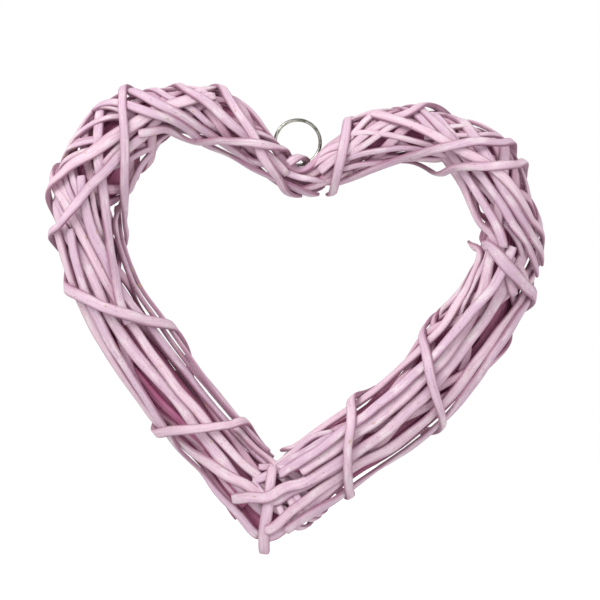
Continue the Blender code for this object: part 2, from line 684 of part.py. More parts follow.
def ring_set_back():
    """How far behind the band's middle the ring hangs, just inside the strips of the notch's back."""
    inside = BAND_DEPTH / 2 * NOTCH_DEPTH_SHARE * LEAST_CORE
    return inside - (STRIP_THICKNESS + RING_WIRE_DIAMETER) / 2 - RING_CLEARANCE


def ring_centre():
    across, height = RING_PLACE[0] * HEART_WIDTH, RING_PLACE[1] * HEART_WIDTH - RING_DROP
    return np.array([across, ring_set_back(), height])


def ring_radius():
    return (RING_OUTER_DIAMETER - RING_WIRE_DIAMETER) / 2


def hung_turn(spot):
    x, y, z = spot
    cos = np.cos(HANG_TILT)
    sin = np.sin(HANG_TILT)
    return np.array([x * cos + z * sin, y, z * cos - x * sin])


def to_world(spot):
    """From the heart's own upright frame to the frame of the inside top of its ring."""
    hook = hung_turn(ring_centre()) + (0, 0, ring_radius() - RING_WIRE_DIAMETER / 2)
    return hung_turn(spot) - hook


def ring_mesh():
    corners = []
    faces = []
    sides = RING_WIRE_SIDES
    for k in range(RING_AROUND):
        turn = 2 * np.pi * k / RING_AROUND
        out = np.array([np.cos(turn), 0.0, np.sin(turn)])
        for j in range(sides):
            tilt = 2 * np.pi * (j + 0.5) / sides
            reach = ring_radius() + RING_WIRE_DIAMETER / 2 * np.cos(tilt)
            raised = np.array([0, RING_WIRE_DIAMETER / 2 * np.sin(tilt), 0])
            corners.append(ring_centre() + out * reach + raised)
            after = (k + 1) % RING_AROUND * sides
            n = (j + 1) % sides
            faces.append((k * sides + j, k * sides + n, after + n, after + j))
    return solid(corners, faces)


def ring_spots():
    """Check points round the ring's wire, each facing out as the band does nearby."""
    turns = np.linspace(-np.pi, 0, RING_AROUND)
    out = np.stack([np.cos(turns), np.zeros(len(turns)), np.sin(turns)], 1)
    spots = ring_centre() + out * ring_radius()
    stations, degrees = np.meshgrid(np.arange(-14.0, 14.5, 0.5), np.arange(0.0, 181.0, 6.0))
    near, facing = band_surface(stations.ravel(), degrees.ravel(), PILE_DEPTH)
    gap = ((spots[:, None] - near[None]) ** 2).sum(2)
    return spots, facing[gap.argmin(1)]


def make_material(name, colour, roughness, metallic):
    material = bpy.data.materials.new(name)
    material.use_nodes = True
    shader = material.node_tree.nodes["Principled BSDF"]
    shader.inputs["Base Color"].default_value = colour + (1.0,)
    shader.inputs["Roughness"].default_value = roughness
    shader.inputs["Metallic"].default_value = metallic
    return material


def add_node(name, mesh, material):
    bmesh.ops.recalc_face_normals(mesh, faces=mesh.faces)
    data = bpy.data.meshes.new(name)
    mesh.to_mesh(data)
    mesh.free()
    data.materials.append(material)
    node = bpy.data.objects.new(name, data)
    bpy.context.scene.collection.objects.link(node)
    return node


def build():
    clear_scene()
    windings = winding_rows()
    rows = windings + [(name, width, way_from_view(marks, before, after))
                       for name, width, marks, before, after in STRANDS]
    rows.append(TIE_ROW)
    widths = np.array([row[1] for row in rows]) * MILLIMETRE
    ways = [strip_stations(row[2], STRAIGHT_REACH if k < len(windings) else VIEW_REACH)
            for k, row in enumerate(rows)]
    ways[len(windings):] = side_by_side(ways[len(windings):], widths[len(windings):])
    pile = Pile()
    strips = []
    for (name, _, _), way, width in zip(rows, ways, widths):
        base, normals, rise = laid_base(way, name)
        if name == RING_TIE:
            pile.add(*ring_spots(), RING_WIRE_DIAMETER / 2)
        points = lay_strip(base, normals, rise, width, pile)
        strips.append({"name": name, "points": points, "normals": normals, "rise": rise, "width": width})
    lift_apart(strips)
    for strip in strips:
        corners = strip_corners(strip["points"], strip["normals"], strip["width"], STRIP_THICKNESS)
        material = make_material("painted_willow_" + strip["name"], (0.62, 0.44, 0.53), 0.7, 0.0)
        add_node(strip["name"], solid(corners, strip_faces(len(strip["points"]))), material)
    metal = make_material("hanging_ring_metal", (0.62, 0.61, 0.58), 0.3, 1.0)
    add_node("hanging_ring", ring_mesh(), metal)


build()
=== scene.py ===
"""Looks of the openwork wicker heart: painted willow strips, thin strands, metal ring, studio.

Laid out as an add-on, and run as a script. Each strip is laid again along the way of its CAD solid,
as a smooth split of willow that rests on those under it.
"""

import bmesh
import bpy
import numpy as np
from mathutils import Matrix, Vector


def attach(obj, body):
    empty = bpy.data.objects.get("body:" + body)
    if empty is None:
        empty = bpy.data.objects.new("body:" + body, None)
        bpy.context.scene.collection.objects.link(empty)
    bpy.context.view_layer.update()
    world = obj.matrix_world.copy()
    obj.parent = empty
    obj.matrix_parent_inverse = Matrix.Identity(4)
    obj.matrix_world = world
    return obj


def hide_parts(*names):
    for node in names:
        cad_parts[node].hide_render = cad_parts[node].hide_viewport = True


bl_info = {
    "name": "Openwork wicker heart",
    "version": (1, 0, 0),
    "blender": (4, 5, 0),
    "location": "3D View > Sidebar > Wicker heart",
    "description": "Dresses the packed wicker heart in painted willow and lights it for a product picture",
    "category": "Object",
}

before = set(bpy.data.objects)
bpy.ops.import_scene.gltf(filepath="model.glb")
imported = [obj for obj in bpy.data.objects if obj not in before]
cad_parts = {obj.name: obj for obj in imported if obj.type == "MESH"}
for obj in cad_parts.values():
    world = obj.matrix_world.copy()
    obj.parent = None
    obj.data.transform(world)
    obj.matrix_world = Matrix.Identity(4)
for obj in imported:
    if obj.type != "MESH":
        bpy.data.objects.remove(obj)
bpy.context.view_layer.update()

# Sizes of the heart, as in its CAD model, in metres
HEART_WIDTH = 0.255
BAND_DEPTH = 0.040
STRIP_THICKNESS = 0.0012
STRIP_GAP = 0.00036
PILE_DEPTH = 0.0082
GROUP_INSETS = (
    ("thin", 0.0034), ("winding", 0.0080), ("front", 0.0082), ("binding", 0.0052),
    ("tip", 0.0052), ("ring_tie", 0.0090),
)
RING_OUTER_DIAMETER = 0.025
RING_WIRE_DIAMETER = 0.0018
RING_CLEARANCE = 0.0004
RING_DROP = 0.0009
LOOP = 200.0
MILLIMETRE = 0.001
HANG_TILT = np.radians(6.3)
RING_PLACE = (-0.019, 0.0772)
NOTCH_DEPTH_SHARE = 0.62
NOTCH_REACH = 11.0
LEAST_CORE = 0.5
RING_TIE = "ring_tie_strip"

# How finely the strips are worked out
LONGEST_STEP = 0.0190
LARGEST_TURN = 0.46
PATH_SAMPLES = 240
VIEW_ORIGIN = (303.0, 180.0)
VIEW_UNIT = 0.00051354
VIEW_STEP = 9.0
VIEW_JUMP = 9.0
VIEW_INSET = 0.0022
VIEW_TAUTNESS = 2.0
RISES_FORWARD = 50.0
RISES_OUTWARD = 86.0
LEAST_RISE = 0.4
VIEW_REACH = 0.0042
VIEW_DAMPING = 0.004
VIEW_ROUNDS = 3
VIEW_NUDGE = (0.3, 2.0)
VIEW_LAST_ANGLE = 89.0
TAIL_EDGE = 50.0
TAIL_TURN = 1.9
TAIL_SLOWING = 0.8
TAIL_PARTS = (0.34, 0.67, 1.0)
SLIDE_ROUNDS = 40
SIDE_ROOM = 0.8
SLIDE_PARTS = 4
SLIDE_CELL = 0.0095
SLIDE_AHEAD = 0.0038
SLIDE_SHARE = 0.30
SLIDE_RETURN = 0.03
SLIDE_SMOOTHING = 3
SLIDE_NUDGE = 0.5
SAME_SIDE = 0.5
RUNS_ALONG = 0.86
BLOCK = 128
FINE_STEP = 0.0020
INNER_STEP = 0.0045
CHECK_EVERY = 2
KNOT_SPACING = 0.0110
REACH = 0.0022
PILE_CELL = 0.0095
LEAST_AGREEMENT = 0.05
SETTLE_ROUNDS = 30
LIFT_ROUNDS = 20
SETTLE_DROP = 0.0010
TIGHTNESS = 0.5
STRAIGHT_REACH = 0.0085
SECOND_LOOK = 12

# Section of a strip and how it varies along its length
SECTION_POINTS = 12
SECTION_POWER = 3.1
VISIBLE_THICKNESS = 0.0022
WIDTH_WANDER = 0.10
WIDTH_WAVE = 0.07
TWIST_DEGREES = 7.0
TWIST_WAVE = 0.055
SIDE_WANDER = 0.0004
SIDE_WAVE = 0.04
END_ROUNDING = 0.0006
END_SHARE = 0.86
WANDER_SIZES = (1.0, 0.6)

# The deepest strips: on either side this many strips of each hand wind round the
# band to the tip, by this many degrees up to each station. One hand starts beyond the
# notch, apart from the strips that would cross the ring; the rest start past NOTCH_END
WINDINGS = 4
WINDING_TURN = (
    (-6, 0), (3, 26), (9, 70), (16, 160), (30, 356), (44, 552),
    (53, 670), (61, 745), (72, 800), (85, 850), (97, 890),
)
WINDING_WIDTHS = (5.2, 4.7, 5.6, 5.0)
WINDING_PACE = (1.0, 0.94, 1.05, 0.97, 1.03)
WINDING_RIGHT_TURN = 17
RING_SIDE = (50, 180)
NOTCH_END = 8

# Extra room in mm that the crowded strips take on the hole's side, by station
CROWDING = (
    (0, 2.4), (10, 1.5), (18, 0.5), (30, 1.5), (45, 0.5), (90, 0.0), (110, 0.0),
    (145, 0.5), (158, 3.2), (168, 5.0), (176, 4.6), (184, 2.5), (192, 1.5),
)

# The strip that ties the ring in, by station and angle
TIE_ROW = ("ring_tie_strip", 4.4, ((3.5, -10), (1.5, 40), (0, 88), (-1, 125), (-2, 165), (-3.5, 215)))

# The band's outline: station, then the outer and the inner edge (x, z) as
# shares of the heart's width, from the notch round the left lobe to the tip and back
OUTLINE = (
    (0, 0.000, 0.032, 0.002, -0.036),
    (7, -0.057, 0.079, -0.086, -0.006),
    (14, -0.131, 0.150, -0.154, 0.028),
    (20, -0.219, 0.172, -0.222, 0.046),
    (25, -0.301, 0.161, -0.267, 0.048),
    (32, -0.410, 0.132, -0.297, -0.006),
    (39, -0.477, 0.040, -0.325, -0.074),
    (47, -0.500, -0.075, -0.351, -0.128),
    (53, -0.487, -0.176, -0.341, -0.184),
    (58, -0.460, -0.266, -0.317, -0.234),
    (69, -0.373, -0.396, -0.247, -0.316),
    (81, -0.260, -0.516, -0.154, -0.417),
    (91, -0.149, -0.613, -0.062, -0.500),
    (96, -0.086, -0.700, -0.014, -0.536),
    (100, -0.002, -0.776, 0.012, -0.550),
    (104, 0.076, -0.716, 0.028, -0.530),
    (110, 0.173, -0.617, 0.062, -0.482),
    (120, 0.285, -0.524, 0.148, -0.412),
    (130, 0.385, -0.412, 0.226, -0.334),
    (140, 0.463, -0.294, 0.274, -0.246),
    (149, 0.485, -0.160, 0.326, -0.174),
    (155, 0.482, -0.058, 0.354, -0.122),
    (161, 0.458, 0.040, 0.357, -0.076),
    (168, 0.394, 0.137, 0.325, -0.020),
    (176, 0.283, 0.171, 0.275, 0.030),
    (182, 0.202, 0.171, 0.212, 0.038),
    (188, 0.112, 0.162, 0.141, 0.014),
    (195, 0.043, 0.097, 0.070, -0.014),
)

# Every CAD strip that shows in front, by group: its width in millimetres, the millimetres it
# goes on unseen past its first and last mark, and its way as marks on the front view
STRANDS = (
    ("left_front_strip", (
        (6.0, 19, 6, ((67, 228), (96, 268), (113, 317), (135, 349), (158, 372), (176, 393), (198, 424),
            (232, 470), (262, 505))),
        (5.2, 19, 3, ((58, 186), (76, 216), (98, 257), (115, 290), (136, 326), (160, 363), (189, 399),
            (214, 430), (250, 470), (284, 500))),
        (5.6, 15, 3, ((88, 205), (100, 245), (112, 272), (132, 303), (156, 333), (189, 372), (221, 412),
            (245, 441), (270, 464), (300, 488), (318, 502))),
        (6.0, 18, 3, ((70, 262), (85, 305), (106, 344), (132, 386), (160, 424), (182, 443), (221, 466),
            (260, 491), (284, 507), (298, 516))),
        (5.0, 15, 3, ((82, 258), (98, 312), (120, 350), (142, 388), (176, 440), (197, 466), (221, 493),
            (242, 516), (256, 531))),
        (5.0, 18, 4, ((118, 222), (134, 262), (150, 300), (172, 338), (202, 376), (233, 415), (270, 452))),
        (4.8, 15, 3, ((126, 228), (140, 262), (160, 300), (189, 348), (214, 382), (243, 420), (268, 446))),
        (5.4, 22, 22, ((103, 108), (101, 155), (105, 185), (110, 220), (115, 262), (121, 288))),
        (5.0, 23, 21, ((57, 239), (77, 211), (98, 184), (121, 162), (134, 148), (168, 121), (189, 101),
            (216, 88))),
        (6.4, 22, 14, ((65, 178), (82, 167), (97, 158), (110, 150), (121, 141), (133, 131), (165, 117),
            (186, 106))),
        (5.0, 22, 15, ((164, 83), (193, 97), (220, 123), (245, 145), (262, 160))),
        (5.0, 21, 16, ((133, 94), (150, 100), (175, 112), (200, 126), (224, 144), (252, 160), (276, 184),
            (298, 197))),
        (4.8, 19, 8, ((133, 113), (150, 119), (178, 128), (212, 147), (250, 165), (279, 184), (303, 193))),
        (5.0, 21, 18, ((218, 90), (235, 109), (250, 138), (262, 160), (276, 176))),
        (4.8, 14, 4, ((166, 130), (196, 138), (222, 146), (250, 146), (278, 148), (301, 163))),
    )),
    ("tip_strip", (
        (5.8, 10, 0, ((271, 478), (269, 497), (266, 520), (264, 552))),
    )),
    ("right_front_strip", (
        (5.6, 19, 6, ((520, 300), (482, 352), (452, 392), (420, 424), (382, 450), (352, 465), (325, 482),
            (298, 502), (275, 524))),
        (5.2, 18, 6, ((526, 300), (505, 330), (474, 378), (442, 419), (404, 455), (366, 477), (330, 498),
            (296, 520))),
        (6.0, 19, 6, ((540, 210), (532, 232), (514, 267), (494, 300), (466, 340), (436, 378), (398, 418),
            (356, 448), (316, 474), (266, 492), (246, 497))),
        (6.0, 21, 4, ((504, 152), (503, 174), (498, 201), (493, 245), (482, 292), (462, 330), (436, 362),
            (400, 396), (356, 428), (306, 462))),
        (5.4, 8, 14, ((447, 150), (460, 175), (477, 211), (491, 238), (504, 262))),
        (5.0, 15, 3, ((480, 251), (470, 280), (452, 310), (430, 340), (392, 372), (343, 412), (286, 450))),
        (5.2, 15, 3, ((496, 276), (476, 306), (446, 344), (414, 376), (370, 412), (326, 445), (284, 473))),
        (5.0, 19, 10, ((400, 106), (414, 118), (432, 138), (450, 160), (464, 184), (479, 211), (492, 232))),
        (5.0, 21, 13, ((410, 106), (430, 124), (448, 146), (472, 170), (494, 200), (512, 228), (526, 246))),
        (6.6, 21, 12, ((447, 106), (456, 115), (465, 130), (474, 148), (488, 167), (504, 196), (520, 222),
            (530, 240))),
        (4.8, 12, 16, ((341, 158), (356, 143), (380, 126), (405, 115), (430, 112))),
        (5.2, 8, 11, ((354, 118), (372, 114), (404, 127), (436, 146), (471, 167), (496, 186), (514, 208),
            (527, 228), (533, 250))),
    )),
    ("binding_strip", (
        (4.8, 4, 23, ((340, 183), (366, 173), (394, 163), (433, 153), (461, 147), (485, 145), (508, 147),
            (517, 151))),
        (4.6, 12, 22, ((420, 169), (442, 171), (480, 169), (505, 167), (523, 166))),
        (6.8, 3, 22, ((487, 246), (497, 257), (509, 268), (522, 284), (528, 300))),
        (5.0, 21, 21, ((427, 327), (421, 342), (421, 357), (428, 380), (437, 403), (441, 420))),
        (5.0, 21, 21, ((356, 400), (349, 415), (346, 435), (346, 457), (349, 494))),
        (6.0, 22, 21, ((68, 285), (82, 297), (100, 305), (118, 311), (144, 318), (167, 331), (188, 351))),
        (5.0, 21, 8, ((156, 429), (176, 430), (198, 428), (229, 423), (246, 426), (262, 437))),
        (4.8, 23, 19, ((126, 90), (127, 113), (127, 136), (129, 160), (128, 185), (125, 205), (122, 225))),
        (4.8, 16, 5, ((347, 118), (346, 132), (343, 150), (337, 174), (332, 190))),
    )),
)

# Thinner strands that the CAD model leaves out, laid over its strips in the same way
THIN_STRANDS = (
    ("thin_left", (
        (4.1, 14, 14, ((94, 108), (107, 107), (120, 109))),
        (3.6, 22, 10, ((84, 136), (98, 129), (112, 122))),
        (3.2, 18, 12, ((66, 154), (82, 150), (98, 147))),
        (3.2, 16, 12, ((62, 168), (80, 160), (100, 152))),
        (3.4, 12, 12, ((108, 158), (122, 141), (135, 130))),
        (3.4, 12, 12, ((135, 155), (155, 142), (175, 135))),
        (3.4, 14, 12, ((133, 185), (143, 165), (158, 150))),
        (3.6, 24, 14, ((149, 89), (165, 96), (185, 108), (200, 118))),
        (4.0, 14, 14, ((165, 82), (180, 83), (195, 90), (205, 95))),
        (3.4, 12, 12, ((168, 125), (190, 134), (200, 137))),
        (3.2, 16, 12, ((50, 175), (56, 195), (64, 212))),
        (4.4, 12, 12, ((60, 178), (68, 195), (75, 207))),
        (3.2, 12, 12, ((71, 185), (78, 200), (84, 212))),
        (4.0, 12, 12, ((78, 172), (82, 183), (87, 196))),
        (3.2, 14, 12, ((64, 158), (72, 140), (84, 124), (94, 112))),
        (3.2, 10, 10, ((78, 213), (83, 223), (88, 232))),
        (3.2, 10, 12, ((96, 200), (100, 215), (103, 228))),
    )),
    ("thin_notch", (
        (3.6, 12, 12, ((260, 156), (276, 168), (299, 176), (333, 176))),
        (3.6, 12, 10, ((261, 143), (280, 148), (299, 163))),
        (4.8, 10, 12, ((293, 170), (314, 162), (330, 151), (341, 143))),
        (4.4, 10, 12, ((303, 191), (322, 186), (337, 179))),
        (3.6, 10, 12, ((306, 173), (320, 166), (333, 159))),
        (3.2, 16, 8, ((240, 100), (252, 119), (265, 135), (298, 163))),
    )),
    ("thin_right", (
        (3.6, 10, 12, ((352, 139), (365, 125), (374, 119))),
        (3.6, 10, 12, ((350, 147), (372, 134), (395, 120))),
        (3.2, 10, 10, ((352, 157), (375, 147), (395, 146), (430, 152), (445, 158))),
        (3.2, 10, 12, ((347, 165), (375, 158), (400, 160), (430, 155))),
        (3.2, 10, 10, ((352, 143), (377, 136), (400, 142), (430, 152))),
        (3.6, 10, 16, ((352, 118), (370, 112), (385, 108), (398, 106))),
        (4.0, 18, 12, ((424, 112), (434, 127), (447, 144))),
        (3.4, 12, 16, ((430, 116), (440, 113), (450, 111))),
        (3.0, 10, 10, ((443, 131), (452, 130), (461, 129))),
        (3.0, 10, 10, ((442, 141), (452, 141), (463, 141))),
        (3.4, 12, 18, ((471, 125), (483, 123), (496, 136), (517, 146))),
        (3.2, 10, 16, ((470, 143), (485, 138), (500, 137), (510, 144))),
        (3.2, 16, 12, ((516, 150), (520, 165), (528, 184), (526, 204))),
        (3.0, 14, 12, ((538, 194), (537, 206), (534, 219))),
        (3.4, 10, 12, ((503, 216), (513, 225), (518, 240))),
        (3.4, 10, 18, ((505, 215), (520, 232), (535, 245))),
        (3.4, 10, 12, ((468, 178), (480, 192), (497, 207))),
        (3.2, 12, 16, ((515, 270), (524, 290), (532, 309))),
        (3.6, 12, 14, ((478, 248), (470, 275), (450, 300))),
        (3.4, 12, 14, ((490, 252), (483, 275), (470, 300))),
    )),
    ("thin_tip", (
        (5.4, 10, 14, ((266, 492), (292, 484), (316, 474), (339, 463))),
        (4.8, 8, 14, ((273, 525), (298, 502), (325, 480))),
        (4.2, 8, 14, ((283, 507), (294, 515), (300, 522))),
        (4.2, 8, 14, ((292, 500), (303, 510), (310, 517))),
        (4.2, 8, 14, ((300, 494), (311, 505), (319, 510))),
        (4.6, 6, 4, ((232, 424), (250, 443), (270, 461), (292, 482))),
        (4.6, 6, 4, ((334, 434), (310, 447), (288, 459), (262, 478))),
        (4.2, 6, 4, ((322, 432), (302, 444), (284, 457), (270, 470))),
    )),
)
# Inner layer: stations it runs between, angles it starts between, how many strands, how far
# each turns round the band on its way and how deep it lies in metres
INNER_RUNS = (
    (10, 62, 0, 360, 15, 190.0, 0.0118), (12, 60, 0, 360, 13, -210.0, 0.0132),
    (48, 103, 0, 360, 17, -80.0, 0.0125), (97, 152, 0, 360, 17, 80.0, 0.0125),
    (142, 192, 0, 360, 15, 190.0, 0.0118), (140, 190, 0, 360, 13, -210.0, 0.0132),
    (30, 103, -165, -20, 24, -14.0, 0.0104), (97, 170, -165, -20, 24, 14.0, 0.0104),
    (8, 40, -165, -20, 12, 60.0, 0.0110), (160, 192, -165, -20, 12, -60.0, 0.0110),
    (48, 97, 50, 140, 6, -30.0, 0.0080), (103, 152, 50, 140, 6, 30.0, 0.0080),
)
INNER_WIDTHS = (4.6, 3.8, 5.2, 4.2)
INNER_CORE = 0.40
INNER_STAGGER = 0.0009
INNER_BUNDLES = 6
INNER_BACK = 0.003
INNER_MARKS = 7
INNER_JITTER = (0.8, 4.0)

# Groups of strips that are dressed one after another
STRIP_GROUPS = (
    "left_winding", "right_winding", "left_front", "right_front", "binding", "tip", "ring_tie",
)
THIN_GROUPS = ("thin_left", "thin_notch", "thin_right", "thin_tip")
DIVE_REACH = 0.010
DIVE_DEPTH = 0.0030
# How far the winding strips and the inner strands are mixed towards the plum inner colour: painted shade
# inside the band
WINDING_SHADE_DEPTH = 0.25
INNER_SHADE_DEPTH = 0.8

# Noise in the paint: millimetres per unit along the strip, units across it, step from
# strip to strip, scale, detail and roughness
PAINT_NOISE = {
    "mottle": (11.0, 0.5, 7.31, 1.0, 3.0, 0.5),
    "fibre": (20.0, 2.6, 3.17, 1.6, 5.0, 0.62),
    "groove": (60.0, 1.7, 5.77, 1.5, 2.0, 0.5),
    "patch": (5.0, 1.2, 2.13, 1.0, 4.0, 0.62),
    "fleck": (1.6, 2.4, 1.37, 1.4, 3.0, 0.7),
}

# Where each layer of the paint, and of the painted shade along the edges, begins and is full, and how far
# it covers what lies under it
TINT_RANGE = (0.48, 1.05)
CREAM_RANGE = (0.74, 0.94)
THIN_RANGE = (0.56, 0.32)
WORN_RANGE = (0.76, 0.84)
SPECK_RANGE = (0.63, 0.69)
THIN_SHARE = 0.35
EDGE_PAINT_AND_SHADE_SHARE = 0.75
WORN_SHARE = 0.8
SPECK_SHARE = 0.7
EDGE_PAINT_AND_SHADE_POWER = 4.0
FIBRE_ROUGHNESS = 0.25
LEAST_ROUGHNESS = 0.65
PAINT_GLOSS = 0.2
GRAIN_STRENGTH = 0.8
GRAIN_HEIGHT = 0.0004

# The wire ring: corners round the ring and round its wire, and check points along its lower half
RING_AROUND = 96
RING_SIDES = 16
RING_CHECKS = 32

# The photograph's frame: its size in pixels, its scale and the place in the heart's frame of its centre
FRAME_PIXELS = 600
PIXELS_PER_METRE = 1947.3
VIEW_CENTRE = (0.00121, -0.09152)
SENSOR_WIDTH = 36.0

# The studio, in metres
KEY_PLACE = (-0.75, -0.95, 0.75)
FILL_PLACE = (0.9, -0.9, 0.0)
LAMP_AIM = (0, 0, -0.1)
LAMP_WIDTH = 0.9
FLOOR_HALF = 6.0

# The finished strips, worked out once by woven()
WEAVE = []


def unit(vectors):
    return vectors / np.linalg.norm(vectors, axis=-1, keepdims=True)


def stepped(points):
    """Distance from each point to the next."""
    return np.linalg.norm(np.diff(points, axis=0), axis=1)


def lengths_along(points):
    return np.r_[0, np.cumsum(stepped(points))]


def read_at(at, length, pairs):
    """Pairs that stand at the given lengths, read at other places between them."""
    return np.stack([np.interp(at, length, pairs[:, k]) for k in (0, 1)], 1)


def eased(t, span, first, first_slope, second, second_slope):
    """Smooth change from one value to the next with the given slopes, at a share t of the span."""
    start = (2 * t ** 3 - 3 * t ** 2 + 1) * first + (t ** 3 - 2 * t ** 2 + t) * span * first_slope
    end = (3 * t ** 2 - 2 * t ** 3) * second + (t ** 3 - t ** 2) * span * second_slope
    return start + end


def closed_curve(rows, stations):
    """Smooth closed curve through the rows' values, read at the given stations."""
    marks = np.array([row[0] for row in rows], float)
    values = np.array([row[1:] for row in rows], float)
    spans = np.diff(np.r_[marks, marks[0] + LOOP])
    rate = (np.roll(values, -1, 0) - values) / spans[:, None]
    rate_before = np.roll(rate, 1, 0)
    span_before = np.roll(spans, 1)
    slope = (rate_before * spans[:, None] + rate * span_before[:, None]) / (spans + span_before)[:, None]
    wrapped = np.mod(stations, LOOP)
    here = np.searchsorted(marks, wrapped, side="right") - 1
    there = (here + 1) % len(marks)
    t = ((wrapped - marks[here]) / spans[here])[:, None]
    return eased(t, spans[here][:, None], values[here], slope[here], values[there], slope[there])


def band_surface(way, inset, least=LEAST_CORE):
    """Points and outward directions on the band's tube, set in from its outline, by station and degrees."""
    stations, degrees = way.T
    rows = closed_curve(OUTLINE, stations) * HEART_WIDTH
    middle = (rows[:, :2] + rows[:, 2:]) / 2
    across = (rows[:, :2] - rows[:, 2:]) / 2
    half = np.linalg.norm(across, axis=1)
    outward = across / half[:, None]
    crowd = closed_curve(CROWDING, stations)[:, 0] * MILLIMETRE * min(inset / PILE_DEPTH, 1.0) / 2
    middle = middle + outward * crowd[:, None]
    half = half - crowd
    nearness = np.exp(-(np.minimum(stations % LOOP, LOOP - stations % LOOP) / NOTCH_REACH) ** 2)
    deep = BAND_DEPTH / 2 * (1 - (1 - NOTCH_DEPTH_SHARE) * nearness)
    core_half = np.maximum(half - inset, half * least)
    core_deep = np.maximum(deep - inset, deep * least)
    turn = np.radians(degrees)
    side = core_half * np.sin(turn)
    x = middle[:, 0] + side * outward[:, 0]
    z = middle[:, 1] + side * outward[:, 1]
    lean = np.sin(turn) / core_half
    normals = np.stack([lean * outward[:, 0], -np.cos(turn) / core_deep, lean * outward[:, 1]], 1)
    return np.stack([x, -core_deep * np.cos(turn), z], 1), unit(normals)


def smooth_way(marks, count):
    """Smooth run of (station, degrees) through a strip's marks."""
    marks = np.array(marks, float)
    span = stepped(marks * (1.0, 0.1))
    at = np.r_[0, np.cumsum(span)]
    rate = np.diff(marks, axis=0) / span[:, None]
    slope = np.empty_like(marks)
    slope[0] = rate[0]
    slope[-1] = rate[-1]
    weighed = rate[:-1] * span[1:, None] + rate[1:] * span[:-1, None]
    slope[1:-1] = weighed / (span[1:] + span[:-1])[:, None]
    u = np.linspace(0, at[-1], count)
    k = np.clip(np.searchsorted(at, u, side="right") - 1, 0, len(span) - 1)
    t = ((u - at[k]) / span[k])[:, None]
    return eased(t, span[k][:, None], marks[k], slope[k], marks[k + 1], slope[k + 1])


def surface_step(way, shift):
    """Change of (station, degrees) that moves points on the band by the given shift."""
    points, _ = band_surface(way, PILE_DEPTH / 2)
    ahead, _ = band_surface(way + (SLIDE_NUDGE, 0), PILE_DEPTH / 2)
    round_it, _ = band_surface(way + (0, SLIDE_NUDGE), PILE_DEPTH / 2)
    per_station = (ahead - points) / SLIDE_NUDGE
    per_degree = (round_it - points) / SLIDE_NUDGE
    along = (per_station ** 2).sum(1)
    around = (per_degree ** 2).sum(1)
    cross = (per_station * per_degree).sum(1)
    a = (shift * per_station).sum(1)
    b = (shift * per_degree).sum(1)
    scale = along * around - cross ** 2
    return np.stack([(a * around - b * cross) / scale, (b * along - a * cross) / scale], 1)


def straightened(way, reach):
    """The same way with wobbles shorter than a reach drawn out, as on a strip pulled tight."""
    points, _ = band_surface(way, PILE_DEPTH / 2)
    return drawn_out(way, reach / stepped(points).mean())


def drawn_out(places, reach):
    """Evenly spaced places along a curve, with bends shorter than a reach, in places, smoothed."""
    bend = np.diff(np.eye(len(places)), 2, axis=0)
    return np.linalg.solve(np.eye(len(places)) + reach ** 4 * bend.T @ bend, places)


def laid_base(way, name):
    """Where a strip lies with nothing under it, its facing there and the way it rises."""
    inset = laid_inset(name)
    if "winding" in name or name == RING_TIE:
        base, normals = band_surface(way, inset)
        return base, normals, normals
    base, normals = band_surface(way, VIEW_INSET)
    turned = np.abs(way[:, 1:]) - RISES_FORWARD
    share = np.clip(turned / (RISES_OUTWARD - RISES_FORWARD), 0, 1)
    rise = unit(normals * share - (1 - share) * np.array([0.0, 1.0, 0.0]))
    return base - rise * (inset - VIEW_INSET), normals, rise


def on_view(way):
    """Where places on the band stand on the front view."""
    points, _ = band_surface(way, VIEW_INSET)
    cos = np.cos(HANG_TILT)
    sin = np.sin(HANG_TILT)
    across = points[:, 0] * cos + points[:, 2] * sin
    down = points[:, 0] * sin - points[:, 2] * cos
    return np.stack([across, down], 1) / VIEW_UNIT + VIEW_ORIGIN


def closer_place(way, seen):
    """Move stations and angles until they stand on the given spots of the front view."""
    for _ in range(VIEW_ROUNDS):
        spots = on_view(way)
        per_station = on_view(way + (VIEW_NUDGE[0], 0)) - spots
        per_angle = on_view(way + (0, VIEW_NUDGE[1])) - spots
        for k, miss in enumerate(seen - spots):
            pair = np.stack([per_station[k], per_angle[k]], 1)
            step = np.linalg.solve(pair.T @ pair + VIEW_DAMPING * np.eye(2), pair.T @ miss)
            way[k] += np.clip(step, -2, 2) * VIEW_NUDGE
        way[:, 1] = np.clip(way[:, 1], -VIEW_LAST_ANGLE, VIEW_LAST_ANGLE)
    return way


def way_from_view(marks, before, after):
    """Stations and angles of a strip that is marked on the front view, with its unseen ends."""
    marks = np.array(marks, float)
    length = lengths_along(marks)
    count = max(int(length[-1] / VIEW_STEP), 3)
    seen = drawn_out(read_at(np.linspace(0, length[-1], count + 1), length, marks), VIEW_TAUTNESS)
    stations, degrees = np.meshgrid(np.arange(0.0, LOOP, 0.5), np.arange(-88.0, 89.0, 2.0), indexing="ij")
    places = np.stack([stations.ravel(), degrees.ravel()], 1)
    grid = on_view(places)
    way = []
    for spot in seen:
        far = ((grid - spot) ** 2).sum(1)
        if way:
            apart = np.abs((places[:, 0] - way[-1][0] + LOOP / 2) % LOOP - LOOP / 2)
            far = np.where(apart > VIEW_JUMP, np.inf, far)
        way.append(places[far.argmin()].copy())
    way = np.array(way)
    way[:, 0] = np.unwrap(way[:, 0], period=LOOP)
    way = closer_place(way, seen)
    for reach, end, inner in ((before, 0, min(3, count)), (after, -1, -1 - min(3, count))):
        if reach:
            points, _ = band_surface(way[[inner, end]], VIEW_INSET)
            pace = (way[end] - way[inner]) / np.linalg.norm(points[1] - points[0]) * MILLIMETRE
            if abs(way[end, 1]) > TAIL_EDGE and abs(pace[1]) < TAIL_TURN:
                pace = np.array([pace[0] * TAIL_SLOWING, np.sign(way[end, 1]) * TAIL_TURN])
            steps = [way[end] + pace * reach * part for part in TAIL_PARTS]
            way = np.array(steps[::-1] + list(way)) if end == 0 else np.array(list(way) + steps)
    return way


